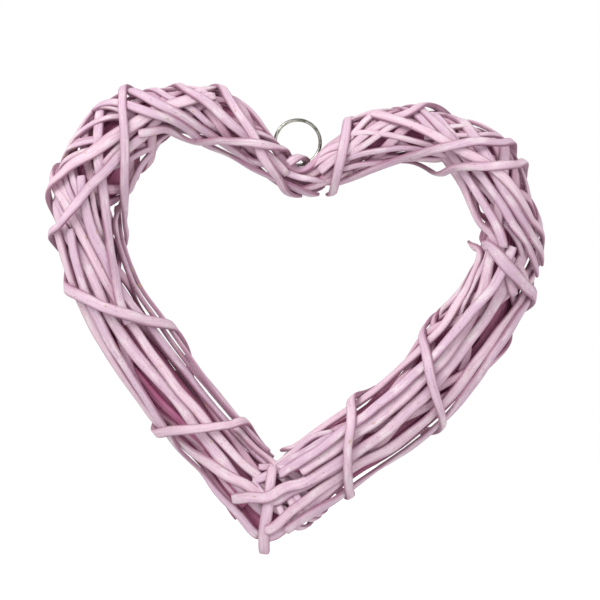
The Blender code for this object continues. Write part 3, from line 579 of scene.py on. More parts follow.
def strip_stations(marks, reach):
    """Stations and angles of a strip's corners, closer together where it bends."""
    way = straightened(smooth_way(marks, PATH_SAMPLES), reach)
    points, _ = band_surface(way, PILE_DEPTH / 2)
    steps = np.diff(points, axis=0)
    length = np.linalg.norm(steps, axis=1)
    heading = unit(steps)
    turned = np.arccos(np.clip((heading[:-1] * heading[1:]).sum(1), -1, 1))
    bend = np.r_[turned[0], (turned[:-1] + turned[1:]) / 2, turned[-1]]
    cost = np.maximum(bend / LARGEST_TURN, length / LONGEST_STEP)
    total = np.r_[0, np.cumsum(cost)]
    count = max(int(np.ceil(total[-1])), 3)
    picks = np.interp(np.linspace(0, total[-1], count + 1), total, np.arange(PATH_SAMPLES))
    return read_at(picks, np.arange(PATH_SAMPLES), way)


def laid_inset(name):
    """How far inside the outline a strip may sink, by its group."""
    for group, inset in GROUP_INSETS:
        if group in name:
            return inset
    return PILE_DEPTH


def winding_rows():
    """Name, width and marks of the strips that wind round the band in both hands."""
    rows = []
    for k in range(WINDINGS):
        for hand in (1, -1):
            for side in ("left", "right"):
                number = 2 * k + (1 if hand > 0 else 2)
                first = 360 / WINDINGS * (k + (0.5 if hand < 0 else 0))
                first += WINDING_RIGHT_TURN if side == "right" else 0
                pace = WINDING_PACE[len(rows) % len(WINDING_PACE)]
                past_notch = hand > 0 and not RING_SIDE[0] < first < RING_SIDE[1]
                turns = [(station, first + hand * pace * turn) for station, turn in WINDING_TURN
                         if past_notch or station > NOTCH_END]
                if side == "right":
                    turns = [(LOOP - station, angle) for station, angle in turns]
                width = WINDING_WIDTHS[len(rows) % len(WINDING_WIDTHS)]
                rows.append(("%s_winding_strip_%d" % (side, number), width, turns))
    return rows


def slide_spots(joined, before, after, low, share):
    """Spots along every strip with their heading, side and facing, and the side at every corner."""
    points, normals = band_surface(joined, PILE_DEPTH / 2)
    side = unit(np.cross(unit(points[after] - points[before]), normals))
    spots = points[low] * (1 - share) + points[low + 1] * share
    ways_on = unit(points[low + 1] - points[low])
    return spots, ways_on, unit(side[low] * (1 - share) + side[low + 1] * share), normals[low], side


def side_by_side(ways, widths, held=0):
    """Slide strips that run along each other apart until they lie side by side, the held ones kept."""
    owner = np.concatenate([np.full(len(way), k) for k, way in enumerate(ways)])
    joined = np.concatenate(ways)
    start = joined.copy()
    ends = np.nonzero(np.r_[True, owner[1:] != owner[:-1]])[0]
    count = len(joined)
    before = np.maximum(np.arange(count) - 1, ends[owner])
    last = np.r_[ends[1:], count] - 1
    after = np.minimum(np.arange(count) + 1, last[owner])
    inner = np.nonzero(owner[:-1] == owner[1:])[0]
    share = np.tile((np.arange(SLIDE_PARTS) + 0.5) / SLIDE_PARTS, len(inner))[:, None]
    low = np.repeat(inner, SLIDE_PARTS)
    width = widths[owner[low]]
    free = (owner >= held)[:, None]
    spots, ways_on, _, facing, _ = slide_spots(joined, before, after, low, share)
    mine = []
    other = []
    for first in range(0, len(low), BLOCK):
        part = slice(first, first + BLOCK)
        close = ((spots[part, None, :] - spots[None]) ** 2).sum(2) < SLIDE_CELL ** 2
        close &= owner[low][part, None] != owner[low][None]
        close &= facing[part] @ facing.T > SAME_SIDE
        close &= np.abs(ways_on[part] @ ways_on.T) > RUNS_ALONG
        a, b = np.nonzero(close)
        mine.append(a + first)
        other.append(b)
    mine = np.concatenate(mine)
    other = np.concatenate(other)
    room = ((width[mine] + width[other]) / 2 + STRIP_GAP) * SIDE_ROOM
    for _ in range(SLIDE_ROUNDS):
        spots, ways_on, sides, _, side = slide_spots(joined, before, after, low, share)
        gap = spots[mine] - spots[other]
        aside = (gap * sides[mine]).sum(1)
        ahead = np.abs((gap * ways_on[mine]).sum(1))
        need = room - np.abs(aside)
        touching = (need > 0) & (ahead < SLIDE_AHEAD)
        push = np.zeros(len(low))
        weight = np.zeros(len(low))
        np.add.at(push, mine[touching], (np.sign(aside) * need)[touching])
        np.add.at(weight, mine[touching], 1.0)
        push = push / np.maximum(weight, 1) * SLIDE_SHARE
        move = np.zeros(count)
        load = np.full(count, 1e-9)
        for node, part in ((low, 1 - share[:, 0]), (low + 1, share[:, 0])):
            np.add.at(move, node, push * part)
            np.add.at(load, node, part)
        joined += surface_step(joined, side * (move / load)[:, None]) * free
        joined += (start - joined) * SLIDE_RETURN * free
        offset = joined - start
        for _ in range(SLIDE_SMOOTHING):
            offset = (offset[before] + 2 * offset + offset[after]) / 4
        joined = start + offset
    return [joined[owner == k] for k in range(len(ways))]


def fine_way(way, inset, step=FINE_STEP):
    """The strip's way at even steps of a millimetre or two."""
    dense = smooth_way(way, PATH_SAMPLES * 2)
    points, _ = band_surface(dense, inset)
    length = lengths_along(points)
    count = max(int(length[-1] / step), 12)
    at = np.linspace(0, length[-1], count + 1)
    return read_at(at, length, dense), at


def knot_shares(at):
    """How much each knot's height counts at each place along a strip."""
    count = max(int(np.ceil(at[-1] / KNOT_SPACING)), 4)
    place = at / at[-1] * (count - 1)
    far = np.abs(place[:, None] - np.arange(-1, count + 1)[None])
    share = np.where(far < 0.5, 0.75 - far ** 2, np.where(far < 1.5, 0.5 * (1.5 - far) ** 2, 0.0))
    share[:, 1] += share[:, 0]
    share[:, -2] += share[:, -1]
    share = share[:, 1:-1]
    return share / share.sum(1, keepdims=True)


def directions(points, normals):
    """Side and face directions at every point of a strip."""
    heading = np.empty_like(points)
    heading[1:-1] = points[2:] - points[:-2]
    heading[0] = points[1] - points[0]
    heading[-1] = points[-1] - points[-2]
    heading = unit(heading)
    face = unit(normals - (normals * heading).sum(1, keepdims=True) * heading)
    return np.cross(heading, face), face


def check_spots(points, normals, width):
    """Check points on the middle line and both edges of a strip."""
    side, face = directions(points, normals)
    picked = points[::CHECK_EVERY]
    aside = side[::CHECK_EVERY] * width / 2
    return np.concatenate([picked, picked - aside, picked + aside]), np.tile(face[::CHECK_EVERY], (3, 1))


class Pile:
    """Everything already laid: check points, their facing and half thickness."""

    def __init__(self):
        self.spots = np.zeros((0, 3))
        self.facing = np.zeros((0, 3))
        self.half = np.zeros(0)

    def add(self, spots, facing, half):
        self.spots = np.concatenate([self.spots, spots])
        self.facing = np.concatenate([self.facing, facing])
        self.half = np.concatenate([self.half, np.full(len(spots), half)])

    def near(self, spots, facing):
        """Pairs of a new spot and a laid spot that could touch."""
        low = spots.min(0) - PILE_CELL
        high = spots.max(0) + PILE_CELL
        chosen = np.nonzero(((self.spots > low) & (self.spots < high)).all(1))[0]
        mine = [np.zeros(0, int)]
        theirs = [np.zeros(0, int)]
        for start in range(0, len(spots), BLOCK):
            part = slice(start, start + BLOCK)
            gap = spots[part, None, :] - self.spots[None, chosen, :]
            close = (gap ** 2).sum(2) < PILE_CELL ** 2
            close &= facing[part] @ self.facing[chosen].T > LEAST_AGREEMENT
            a, b = np.nonzero(close)
            mine.append(a + start)
            theirs.append(chosen[b])
        return np.concatenate(mine), np.concatenate(theirs)


def off_straight(points, normals):
    """How far the straight line between each corner's neighbours lies above the corner."""
    before = np.linalg.norm(points[1:-1] - points[:-2], axis=1)[:, None]
    after = np.linalg.norm(points[2:] - points[1:-1], axis=1)[:, None]
    straight = (points[:-2] * after + points[2:] * before) / (before + after)
    return ((straight - points[1:-1]) * normals[1:-1]).sum(1)


def tightened(height, base, normals, share):
    """Heights once every corner is drawn towards the straight line between its neighbours."""
    wanted = height.copy()
    hollow = np.maximum(off_straight(base, normals), 0)
    wanted[1:-1] += share * (off_straight(base + normals * height[:, None], normals) - hollow)
    wanted[[0, -1]] -= share * SETTLE_DROP
    return np.maximum(wanted, 0.0)


def lay_strip(base, normals, rise, at, width, pile):
    """Lower a strip onto the pile until it rests on it, and return its middle line."""
    shares = knot_shares(at)
    height = np.zeros(shares.shape[1])
    knots = np.round(np.linspace(0, len(base) - 1, len(height))).astype(int)
    half = STRIP_THICKNESS / 2
    picked = np.tile(np.arange(0, len(base), CHECK_EVERY), 3)
    weight = shares[picked]
    strength = (weight ** 2).sum(1)
    spots, facing = check_spots(base + rise * PILE_DEPTH / 2, normals, width)
    mine, theirs = pile.near(spots, facing)
    for step in range(SETTLE_ROUNDS + LIFT_ROUNDS):
        if step == SECOND_LOOK:
            spots, facing = check_spots(base + rise * (shares @ height)[:, None], normals, width)
            mine, theirs = pile.near(spots, facing)
        if step < SETTLE_ROUNDS:
            share = TIGHTNESS * (1 - step / SETTLE_ROUNDS)
            height = tightened(height, base[knots], rise[knots], share)
        if not len(mine):
            continue
        spots, facing = check_spots(base + rise * (shares @ height)[:, None], normals, width)
        gap = spots[mine] - pile.spots[theirs]
        above = (gap * facing[mine]).sum(1)
        aside = np.sqrt(np.maximum((gap ** 2).sum(1) - above ** 2, 0))
        need = half + pile.half[theirs] + STRIP_GAP - above
        need[(aside > REACH) | (need < 0)] = 0
        lift = np.zeros(len(spots))
        np.maximum.at(lift, mine, need)
        lift /= np.maximum((rise[picked] * facing).sum(1), LEAST_RISE)
        height += (weight * (lift / strength)[:, None]).max(0)
    points = base + rise * (shares @ height)[:, None]
    spots, facing = check_spots(points, normals, width)
    pile.add(spots, facing, half)
    return points


def ring_set_back():
    """How far behind the band's middle the ring hangs, just inside the strips of the notch's back."""
    inside = BAND_DEPTH / 2 * NOTCH_DEPTH_SHARE * LEAST_CORE
    return inside - (STRIP_THICKNESS + RING_WIRE_DIAMETER) / 2 - RING_CLEARANCE


def ring_centre():
    across, height = np.array(RING_PLACE) * HEART_WIDTH
    return np.array([across, ring_set_back(), height - RING_DROP])


def ring_radius():
    return (RING_OUTER_DIAMETER - RING_WIRE_DIAMETER) / 2


def hung_turn(spots):
    cos = np.cos(HANG_TILT)
    sin = np.sin(HANG_TILT)
    x = spots[..., 0]
    z = spots[..., 2]
    return np.stack([x * cos + z * sin, spots[..., 1], z * cos - x * sin], -1)


def to_world(spots):
    """From the heart's own upright frame to the frame of the inside top of its ring."""
    hook = hung_turn(ring_centre()) + (0, 0, ring_radius() - RING_WIRE_DIAMETER / 2)
    return hung_turn(np.asarray(spots, float)) - hook


def ring_spots():
    """Check points round the ring's wire, each facing out as the band does nearby."""
    turns = np.linspace(-np.pi, 0, RING_CHECKS)
    out = np.stack([np.cos(turns), np.zeros(len(turns)), np.sin(turns)], 1)
    spots = ring_centre() + out * ring_radius()
    stations, degrees = np.meshgrid(np.arange(-14.0, 14.5, 0.5), np.arange(0.0, 181.0, 6.0))
    near, facing = band_surface(np.stack([stations.ravel(), degrees.ravel()], 1), PILE_DEPTH)
    gap = ((spots[:, None] - near[None]) ** 2).sum(2)
    return spots, facing[gap.argmin(1)]


def inner_strands():
    """Width, marks and depth of the strands of the hidden inner layer, seen only through the gaps."""
    rows = []
    chance = np.random.default_rng(7)
    for first, last, lowest, highest, count, drift, inset in INNER_RUNS:
        for k in range(count):
            angle = lowest + (highest - lowest) * (k + 0.5 * chance.random()) / count
            stations = np.linspace(first, last, INNER_MARKS)
            stations += chance.normal(0, INNER_JITTER[0], INNER_MARKS)
            degrees = angle + drift * np.linspace(0, 1, INNER_MARKS)
            degrees += chance.normal(0, INNER_JITTER[1], INNER_MARKS)
            deeper = inset + INNER_STAGGER * (k % 3)
            rows.append((INNER_WIDTHS[k % len(INNER_WIDTHS)], list(zip(stations, degrees)), deeper))
    return rows


def seen_rows(groups):
    """Name, width and way of strips whose marks are places on the front view."""
    rows = []
    for group, strands in groups:
        for number, (width, before, after, marks) in enumerate(strands, 1):
            name = "%s_%d" % (group, number) if len(strands) > 1 else group
            rows.append((name, width, way_from_view(marks, before, after)))
    return rows


def dived(points, normals, at):
    """Let both ends of a thin strand slip under the strips around them."""
    near = np.minimum(at, at[-1] - at)
    share = np.clip(1 - near / DIVE_REACH, 0, 1)
    return points - normals * (DIVE_DEPTH * share * share * (3 - 2 * share))[:, None]


def woven():
    """Every strip of the heart: name, middle line, facing, width and place along it."""
    if WEAVE:
        return WEAVE
    windings = winding_rows()
    rows = windings + seen_rows(STRANDS) + [TIE_ROW]
    own = len(rows)
    rows += seen_rows(THIN_STRANDS)
    widths = np.array([row[1] for row in rows]) * MILLIMETRE
    ways = [strip_stations(row[2], STRAIGHT_REACH if k < len(windings) else VIEW_REACH)
            for k, row in enumerate(rows)]
    upper = slice(len(windings), own)
    ways[upper] = side_by_side(ways[upper], widths[upper])
    upper = slice(len(windings), None)
    ways[upper] = side_by_side(ways[upper], widths[upper], held=own - len(windings))
    pile = Pile()
    for (name, _, _), way, width in zip(rows, ways, widths):
        fine, at = fine_way(way, laid_inset(name))
        base, normals, rise = laid_base(fine, name)
        if name == RING_TIE:
            pile.add(*ring_spots(), RING_WIRE_DIAMETER / 2)
        if name.startswith("thin"):
            points = dived(base, normals, at)
        else:
            points = lay_strip(base, normals, rise, at, width, pile)
        WEAVE.append({"name": name, "points": points, "normals": normals, "width": width, "at": at})
    for number, (width, marks, inset) in enumerate(inner_strands(), 1):
        fine, at = fine_way(marks, inset, INNER_STEP)
        base, normals = band_surface(fine, inset, INNER_CORE)
        WEAVE.append({"name": "inner_strand_%d" % number, "points": base, "normals": normals,
                      "width": width * MILLIMETRE, "at": at})
    return WEAVE


def wander(at, seed, reach):
    """Slow smooth change along a strip, between about -1 and 1."""
    chance = np.random.default_rng(seed)
    value = np.zeros(len(at))
    for size in WANDER_SIZES:
        length = reach * size
        value += size * np.sin(2 * np.pi * at / length + chance.random() * 2 * np.pi)
    return value / sum(WANDER_SIZES)


def strip_mesh(strip, number):
    """Smooth closed split of willow along the strip's middle line."""
    points = strip["points"]
    at = strip["at"]
    side, face = directions(points, strip["normals"])
    twist = np.radians(TWIST_DEGREES) * wander(at, number * 3 + 1, TWIST_WAVE)
    turned_side = side * np.cos(twist)[:, None] + face * np.sin(twist)[:, None]
    turned_face = face * np.cos(twist)[:, None] - side * np.sin(twist)[:, None]
    points = points + side * (SIDE_WANDER * wander(at, number * 3 + 2, SIDE_WAVE))[:, None]
    width = strip["width"] * (1 + WIDTH_WANDER * wander(at, number * 3 + 3, WIDTH_WAVE))
    close = np.minimum(at, at[-1] - at)
    rounding = np.where(close < END_ROUNDING, END_SHARE, 1.0)
    turns = 2 * np.pi * (np.arange(SECTION_POINTS) + 0.5) / SECTION_POINTS
    power = 2 / SECTION_POWER
    across = np.sign(np.cos(turns)) * np.abs(np.cos(turns)) ** power
    over = np.sign(np.sin(turns)) * np.abs(np.sin(turns)) ** power
    thickness = VISIBLE_THICKNESS * rounding
    sideways = across[None, :] * (width * rounding)[:, None] / 2
    upward = over[None, :] * thickness[:, None] / 2
    rows = points[:, None, :] + turned_side[:, None, :] * sideways[..., None]
    rows += turned_face[:, None, :] * upward[..., None]
    corners = to_world(rows.reshape(-1, 3))
    count = len(points)
    n = SECTION_POINTS
    faces = [(n * k + j, n * k + (j + 1) % n, n * k + n + (j + 1) % n, n * k + n + j)
             for k in range(count - 1) for j in range(n)]
    caps = [tuple(range(n - 1, -1, -1)), tuple(n * (count - 1) + j for j in range(n))]
    place = np.empty((count, n, 3))
    place[..., 0] = at[:, None] / MILLIMETRE
    place[..., 1] = across[None, :]
    place[..., 2] = number
    return corners, faces, caps, place.reshape(-1, 3)


def placed(name, data):
    """New object in the scene with the given mesh, lamp or camera."""
    thing = bpy.data.objects.new(name, data)
    bpy.context.scene.collection.objects.link(thing)
    return thing


def strips_object(name, strips, paint):
    """One object of one or more strips, with each strip's lengthwise place kept for its paint."""
    corners = []
    faces = []
    caps = []
    places = []
    for strip, number in strips:
        spots, sides, ends, place = strip_mesh(strip, number)
        start = sum(len(block) for block in corners)
        corners.append(spots)
        places.append(place)
        faces += [tuple(start + k for k in face) for face in sides]
        caps += [tuple(start + k for k in face) for face in ends]
    mesh = bpy.data.meshes.new(name)
    mesh.from_pydata(np.concatenate(corners).tolist(), [], faces + caps)
    attribute = mesh.attributes.new("strand_place", "FLOAT_VECTOR", "POINT")
    attribute.data.foreach_set("vector", np.concatenate(places).astype(np.float32).ravel())
    mesh.shade_smooth()
    piece = placed(name, mesh)
    mesh.materials.append(paint)
    mesh.materials.append(cut_willow())
    for face in mesh.polygons[len(faces):]:
        face.material_index = 1
        face.use_smooth = False
    working = bmesh.new()
    working.from_mesh(mesh)
    bmesh.ops.recalc_face_normals(working, faces=working.faces)
    working.to_mesh(mesh)
    working.free()
    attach(piece, "root")
    return piece


def math_node(tree, operation, first, second=None):
    """Math node whose inputs are sockets or plain numbers."""
    node = tree.nodes.new("ShaderNodeMath")
    node.operation = operation
    for k, value in enumerate((first, second)):
        if value is None:
            continue
        if isinstance(value, (int, float)):
            node.inputs[k].default_value = value
        else:
            tree.links.new(value, node.inputs[k])
    return node.outputs[0]


def scaled_by(tree, value, factor):
    return math_node(tree, "MULTIPLY", value, factor)


def mixed(tree, share, low, high):
    """Colour between two, by a share; each is a socket or a colour."""
    node = tree.nodes.new("ShaderNodeMix")
    node.data_type = "RGBA"
    node.clamp_factor = True
    tree.links.new(share, node.inputs[0])
    for value, socket in ((low, node.inputs[6]), (high, node.inputs[7])):
        if isinstance(value, bpy.types.NodeSocket):
            tree.links.new(value, socket)
        else:
            socket.default_value = tuple(value) + (1.0,)
    return node.outputs[2]


def between(tree, value, limits):
    """Share from 0 to 1 as a value goes from the first to the second of the limits."""
    node = tree.nodes.new("ShaderNodeMapRange")
    node.interpolation_type = "SMOOTHSTEP"
    tree.links.new(value, node.inputs[0])
    for socket, limit in zip(node.inputs[1:3], limits):
        socket.default_value = limit
    return node.outputs[0]


def noise_at(tree, place, scale, detail, roughness=0.5):
    noise = tree.nodes.new("ShaderNodeTexNoise")
    tree.links.new(place, noise.inputs["Vector"])
    noise.inputs["Scale"].default_value = scale
    noise.inputs["Detail"].default_value = detail
    noise.inputs["Roughness"].default_value = roughness
    return noise.outputs[0]


def strand_noise(tree, place, name):
    """Noise of PAINT_NOISE, laid out along the strip."""
    along, across, step, scale, detail, roughness = PAINT_NOISE[name]
    scaled = tree.nodes.new("ShaderNodeVectorMath")
    scaled.operation = "MULTIPLY"
    tree.links.new(place, scaled.inputs[0])
    scaled.inputs[1].default_value = (1 / along, across, step)
    return noise_at(tree, scaled.outputs[0], scale, detail, roughness)


def object_noise(tree, scale, detail):
    """Noise laid out in the object's own space."""
    where = tree.nodes.new("ShaderNodeTexCoord")
    return noise_at(tree, where.outputs["Object"], scale, detail)


def new_material(name):
    material = bpy.data.materials.new(name)
    material.use_nodes = True
    tree = material.node_tree
    return material, tree, tree.nodes["Principled BSDF"]


def painted_willow(name, shade_depth):
    """Chalky paint over willow: tint from strip to strip, mottled, grooved and worn; deeper paint and
    painted shade along the edges, and painted shade in plum on the strands inside the band.
    """
    if name in bpy.data.materials:
        return bpy.data.materials[name]
    paint = bpy.context.scene.wicker_paint
    material, tree, shader = new_material(name)
    attribute = tree.nodes.new("ShaderNodeAttribute")
    attribute.attribute_name = "strand_place"
    place = attribute.outputs["Vector"]
    parts = tree.nodes.new("ShaderNodeSeparateXYZ")
    tree.links.new(place, parts.inputs[0])
    across = parts.outputs[1]
    own = tree.nodes.new("ShaderNodeTexWhiteNoise")
    own.noise_dimensions = "1D"
    tree.links.new(parts.outputs[2], own.inputs["W"])
    mottle, fibre, groove, patch, fleck = (strand_noise(tree, place, name) for name in PAINT_NOISE)

    tint = math_node(tree, "ADD", scaled_by(tree, own.outputs[0], 0.6), mottle)
    colour = mixed(tree, between(tree, tint, TINT_RANGE), paint.lilac, paint.pink)
    thick = math_node(tree, "ADD", mottle, scaled_by(tree, patch, 0.5))
    colour = mixed(tree, between(tree, thick, CREAM_RANGE), colour, paint.cream)
    thin = between(tree, fibre, THIN_RANGE)
    colour = mixed(tree, scaled_by(tree, thin, THIN_SHARE), colour, paint.shade)
    # Deeper paint pooled along the edges of each strip, and painted shade there between the strips
    edge_paint_and_shade = math_node(tree, "POWER", math_node(tree, "ABSOLUTE", across), EDGE_PAINT_AND_SHADE_POWER)
    colour = mixed(tree, scaled_by(tree, edge_paint_and_shade, EDGE_PAINT_AND_SHADE_SHARE), colour, paint.edge_paint_and_shade)
    rubbed = math_node(tree, "ADD", patch, scaled_by(tree, fibre, 0.25))
    worn = between(tree, rubbed, WORN_RANGE)
    colour = mixed(tree, scaled_by(tree, worn, WORN_SHARE), colour, paint.worn)
    speck = between(tree, fleck, SPECK_RANGE)
    colour = mixed(tree, scaled_by(tree, speck, SPECK_SHARE), colour, paint.speck)
    # Painted shade inside the band: the colour is mixed towards the plum inner colour, more on the deeper
    # strands
    if shade_depth:
        share = scaled_by(tree, math_node(tree, "ADD", mottle, 1.0), shade_depth / 1.5)
        colour = mixed(tree, share, colour, paint.inside)
    tree.links.new(colour, shader.inputs["Base Color"])

    rough = math_node(tree, "ADD", scaled_by(tree, fibre, FIBRE_ROUGHNESS), LEAST_ROUGHNESS)
    tree.links.new(rough, shader.inputs["Roughness"])
    shader.inputs["Specular IOR Level"].default_value = PAINT_GLOSS
    relief = math_node(tree, "ADD", scaled_by(tree, fibre, 0.6), groove)
    bump = tree.nodes.new("ShaderNodeBump")
    bump.inputs["Strength"].default_value = GRAIN_STRENGTH
    bump.inputs["Distance"].default_value = GRAIN_HEIGHT
    tree.links.new(relief, bump.inputs["Height"])
    tree.links.new(bump.outputs[0], shader.inputs["Normal"])
    return material


def cut_willow():
    """Cut end of a strip: paint over the pale end grain."""
    if "cut_willow" in bpy.data.materials:
        return bpy.data.materials["cut_willow"]
    paint = bpy.context.scene.wicker_paint
    material, tree, shader = new_material("cut_willow")
    grain = object_noise(tree, 2600.0, 3.0)
    colour = mixed(tree, between(tree, grain, (0.35, 0.62)), paint.cut, paint.shade)
    tree.links.new(colour, shader.inputs["Base Color"])
    shader.inputs["Roughness"].default_value = 0.8
    return material


def ring_metal():
    """Drawn steel wire with duller patches of slightly warm tarnish."""
    if "ring_wire" in bpy.data.materials:
        return bpy.data.materials["ring_wire"]
    paint = bpy.context.scene.wicker_paint
    material, tree, shader = new_material("ring_wire")
    dulled = object_noise(tree, 420.0, 4.0)
    colour = mixed(tree, between(tree, dulled, (0.42, 0.66)), paint.steel, paint.tarnish)
    rough = math_node(tree, "ADD", scaled_by(tree, dulled, 0.22), 0.16)
    tree.links.new(colour, shader.inputs["Base Color"])
    tree.links.new(rough, shader.inputs["Roughness"])
    shader.inputs["Metallic"].default_value = 1.0
    return material


def dress(prefix):
    """Lay a willow strip in place of every CAD strip whose name starts with the prefix."""
    for strip, number in strips_named(prefix):
        # The winding strips, which lie under the front strips, get painted shade
        under = WINDING_SHADE_DEPTH if "winding" in prefix else 0.0
        paint = painted_willow("willow_with_painted_shade" if under else "chalky_willow", under)
        piece = strips_object("willow_" + strip["name"], [(strip, number)], paint)
        if strip["name"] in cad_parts:
            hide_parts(strip["name"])


def strips_named(prefix):
    found = [(strip, number) for number, strip in enumerate(woven()) if strip["name"].startswith(prefix)]
    if not found:
        raise RuntimeError("no strip is named " + prefix)
    return found


def linear(red, green, blue):
    """Scene colour of a given colour, each part from 0 to 255."""
    return tuple(((part / 255 + 0.055) / 1.055) ** 2.4 for part in (red, green, blue))


def colour_setting(name, description, colour):
    return bpy.props.FloatVectorProperty(
        name=name, description=description, subtype="COLOR", size=3, min=0.0, max=1.0, default=colour)


class WickerPaint(bpy.types.PropertyGroup):
    """Colours of the paint, the bare wood and the ring."""

    pink: colour_setting("Pink paint", "Pink tint of the paint", linear(235, 205, 218))
    lilac: colour_setting("Lilac paint", "Cooler lilac tint of the paint", linear(218, 189, 208))
    cream: colour_setting("Cream paint", "Palest patches, where the paint is thick", linear(236, 219, 226))
    shade: colour_setting("Deep paint", "Paint in grooves and along the edges", linear(176, 112, 150))
    # Deeper paint pooled at the strips' edges, and painted shade between the strips
    edge_paint_and_shade: colour_setting("Edge paint", "Darkest paint, along the edges of the strips", linear(132, 68, 98))
    worn: colour_setting("Worn wood", "Tan wood where the paint is rubbed off", linear(186, 150, 128))
    speck: colour_setting("Specks", "Small dark marks in the paint", linear(110, 72, 84))
    # Painted shade: this plum colour of the strands inside the band stands for the shade there
    inside: colour_setting("Inner paint", "Paint of the strands deep inside the band", linear(160, 66, 112))
    cut: colour_setting("Cut wood", "Pale wood of the cut ends", linear(224, 196, 196))
    steel: colour_setting("Steel", "Clean wire of the ring", linear(158, 158, 150))
    tarnish: colour_setting("Tarnish", "Duller patches of the ring's wire", linear(104, 104, 92))


class WickerStudio(bpy.types.PropertyGroup):
    """Light, floor and camera."""

    sky: bpy.props.FloatProperty(
        name="Room light", description="Strength of the even white light all round", default=0.68, min=0.0)
    key: bpy.props.FloatProperty(
        name="Key light", description="Power of the soft light at upper left", subtype="POWER",
        default=14.0, min=0.0)
    fill: bpy.props.FloatProperty(
        name="Fill light", description="Power of the soft light at the right", subtype="POWER",
        default=3.0, min=0.0)
    lens: bpy.props.FloatProperty(
        name="Lens", description="Focal length of the camera", unit="CAMERA", default=135.0, min=20.0)
    floor_drop: bpy.props.FloatProperty(
        name="Floor drop", description="Height of the ring above the floor", unit="LENGTH",
        default=0.62, min=0.25)


class WICKER_OT_dress_group(bpy.types.Operator):
    """Lay the willow strips whose names start with a prefix, in place of their CAD solids"""

    bl_idname = "wicker.dress_group"
    bl_label = "Lay strips"

    prefix: bpy.props.StringProperty(
        name="Name starts with", description="Which strips to lay", default="left_front")

    def execute(self, context):
        dress(self.prefix)
        return {"FINISHED"}


class WICKER_OT_thin_strands(bpy.types.Operator):
    """Lay the thin outer strands whose names start with a prefix, as one piece"""

    bl_idname = "wicker.thin_strands"
    bl_label = "Thin strands"

    prefix: bpy.props.StringProperty(
        name="Name starts with", description="Which thin strands to lay", default="thin_left")

    def execute(self, context):
        paint = painted_willow("chalky_willow", 0.0)
        strips_object(self.prefix + "_strands", strips_named(self.prefix), paint)
        return {"FINISHED"}


class WICKER_OT_inner_strands(bpy.types.Operator):
    """Lay the thin strands of the hidden inner layer, in bundles"""

    bl_idname = "wicker.inner_strands"
    bl_label = "Inner strands"

    def execute(self, context):
        found = strips_named("inner_strand")
        rear = [item for item in found if item[0]["points"][:, 1].mean() > INNER_BACK]
        front = [item for item in found if item[0]["points"][:, 1].mean() <= INNER_BACK]
        # The inner strands, front and rear, get painted shade
        paint = painted_willow("inner_willow_painted_shade", INNER_SHADE_DEPTH)
        size = -(-len(front) // INNER_BUNDLES)
        for k in range(0, len(front), size):
            strips_object("inner_strands_%d" % (k // size + 1), front[k:k + size], paint)
        strips_object("inner_strands_rear", rear, painted_willow("willow_with_painted_shade", WINDING_SHADE_DEPTH))
        return {"FINISHED"}


class WICKER_OT_hanging_ring(bpy.types.Operator):
    """Make the round wire ring that the heart hangs from"""

    bl_idname = "wicker.hanging_ring"
    bl_label = "Hanging ring"

    def execute(self, context):
        turns = 2 * np.pi * np.arange(RING_AROUND) / RING_AROUND
        out = np.stack([np.cos(turns), np.zeros(RING_AROUND), np.sin(turns)], 1)
        tilts = 2 * np.pi * np.arange(RING_SIDES) / RING_SIDES
        reach = ring_radius() + RING_WIRE_DIAMETER / 2 * np.cos(tilts)
        spots = ring_centre() + out[:, None, :] * reach[None, :, None]
        spots[..., 1] += RING_WIRE_DIAMETER / 2 * np.sin(tilts)
        faces = []
        for k in range(RING_AROUND):
            here = k * RING_SIDES
            there = (k + 1) % RING_AROUND * RING_SIDES
            for j in range(RING_SIDES):
                after = (j + 1) % RING_SIDES
                faces.append((here + j, here + after, there + after, there + j))
        mesh = bpy.data.meshes.new("wire_ring")
        mesh.from_pydata(to_world(spots.reshape(-1, 3)).tolist(), [], faces)
        mesh.shade_smooth()
        mesh.materials.append(ring_metal())
        piece = placed("wire_ring", mesh)
        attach(piece, "root")
        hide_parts("hanging_ring")
        return {"FINISHED"}


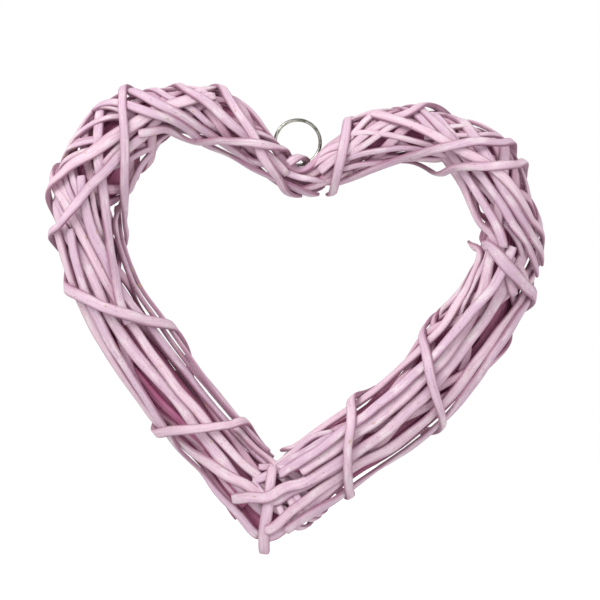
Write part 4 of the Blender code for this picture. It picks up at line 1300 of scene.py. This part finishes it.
class WICKER_OT_studio(bpy.types.Operator):
    """Set up the plain pale floor, the soft light and the camera"""

    bl_idname = "wicker.studio"
    bl_label = "Studio"

    def execute(self, context):
        studio = context.scene.wicker_studio
        context.scene.view_settings.view_transform = "Standard"
        world = bpy.data.worlds.new("white_room")
        context.scene.world = world
        world.use_nodes = True
        tree = world.node_tree
        sky = tree.nodes["Background"]
        sky.inputs["Strength"].default_value = studio.sky
        seen = tree.nodes.new("ShaderNodeBackground")
        rays = tree.nodes.new("ShaderNodeLightPath")
        choice = tree.nodes.new("ShaderNodeMixShader")
        for light in (sky, seen):
            light.inputs["Color"].default_value = (1.0, 1.0, 1.0, 1.0)
        tree.links.new(rays.outputs["Is Camera Ray"], choice.inputs[0])
        tree.links.new(sky.outputs[0], choice.inputs[1])
        tree.links.new(seen.outputs[0], choice.inputs[2])
        tree.links.new(choice.outputs[0], tree.nodes["World Output"].inputs["Surface"])
        self.floor(studio)
        self.lamp("key_light", KEY_PLACE, studio.key)
        self.lamp("fill_light", FILL_PLACE, studio.fill)
        self.camera(context, studio)
        return {"FINISHED"}

    def floor(self, studio):
        mesh = bpy.data.meshes.new("floor")
        corners = [(x * FLOOR_HALF, y * FLOOR_HALF, 0) for x, y in ((-1, -1), (1, -1), (1, 1), (-1, 1))]
        mesh.from_pydata(corners, [], [(0, 1, 2, 3)])
        floor = placed("floor", mesh)
        floor.location = (0, 0, -studio.floor_drop)
        floor.visible_diffuse = False
        material, _, shader = new_material("pale_floor")
        shader.inputs["Base Color"].default_value = (0.9, 0.9, 0.9, 1.0)
        shader.inputs["Roughness"].default_value = 0.9
        shader.inputs["Emission Color"].default_value = (1.0, 1.0, 1.0, 1.0)
        shader.inputs["Emission Strength"].default_value = 0.9
        mesh.materials.append(material)

    def lamp(self, name, place, power):
        data = bpy.data.lights.new(name, "AREA")
        data.shape = "DISK"
        data.size = LAMP_WIDTH
        data.energy = power
        lamp = placed(name, data)
        lamp.location = place
        aim = Vector(LAMP_AIM) - Vector(place)
        lamp.rotation_euler = aim.to_track_quat("-Z", "Y").to_euler()

    def camera(self, context, studio):
        data = bpy.data.cameras.new("camera")
        data.lens = studio.lens
        data.sensor_width = SENSOR_WIDTH
        reach = FRAME_PIXELS * studio.lens / SENSOR_WIDTH / PIXELS_PER_METRE
        data.clip_end = 50.0
        camera = placed("camera", data)
        camera.location = (VIEW_CENTRE[0], -reach, VIEW_CENTRE[1])
        camera.rotation_euler = (np.pi / 2, 0, 0)
        context.scene.camera = camera


class WICKER_PT_panel(bpy.types.Panel):
    """Buttons for every piece of the wicker heart"""

    bl_label = "Wicker heart"
    bl_idname = "WICKER_PT_panel"
    bl_space_type = "VIEW_3D"
    bl_region_type = "UI"
    bl_category = "Wicker heart"

    def draw(self, context):
        for group in (context.scene.wicker_paint, context.scene.wicker_studio):
            for name in group.bl_rna.properties.keys():
                if name not in ("rna_type", "name"):
                    self.layout.prop(group, name)
        for prefix in STRIP_GROUPS:
            self.layout.operator("wicker.dress_group", text=prefix.replace("_", " ")).prefix = prefix
        for prefix in THIN_GROUPS:
            self.layout.operator("wicker.thin_strands", text=prefix.replace("_", " ")).prefix = prefix
        for name in ("inner_strands", "hanging_ring", "studio"):
            self.layout.operator("wicker." + name)


CLASSES = (WickerPaint, WickerStudio, WICKER_OT_dress_group, WICKER_OT_thin_strands,
           WICKER_OT_inner_strands, WICKER_OT_hanging_ring, WICKER_OT_studio, WICKER_PT_panel)


def register():
    for item in CLASSES:
        bpy.utils.register_class(item)
    bpy.types.Scene.wicker_paint = bpy.props.PointerProperty(type=WickerPaint)
    bpy.types.Scene.wicker_studio = bpy.props.PointerProperty(type=WickerStudio)


def unregister():
    del bpy.types.Scene.wicker_studio
    del bpy.types.Scene.wicker_paint
    for item in reversed(CLASSES):
        bpy.utils.unregister_class(item)


def main():
    register()
    for prefix in STRIP_GROUPS:
        bpy.ops.wicker.dress_group(prefix=prefix)
    for prefix in THIN_GROUPS:
        bpy.ops.wicker.thin_strands(prefix=prefix)
    bpy.ops.wicker.inner_strands()
    bpy.ops.wicker.hanging_ring()
    bpy.ops.wicker.studio()


if __name__ == "__main__":
    main()
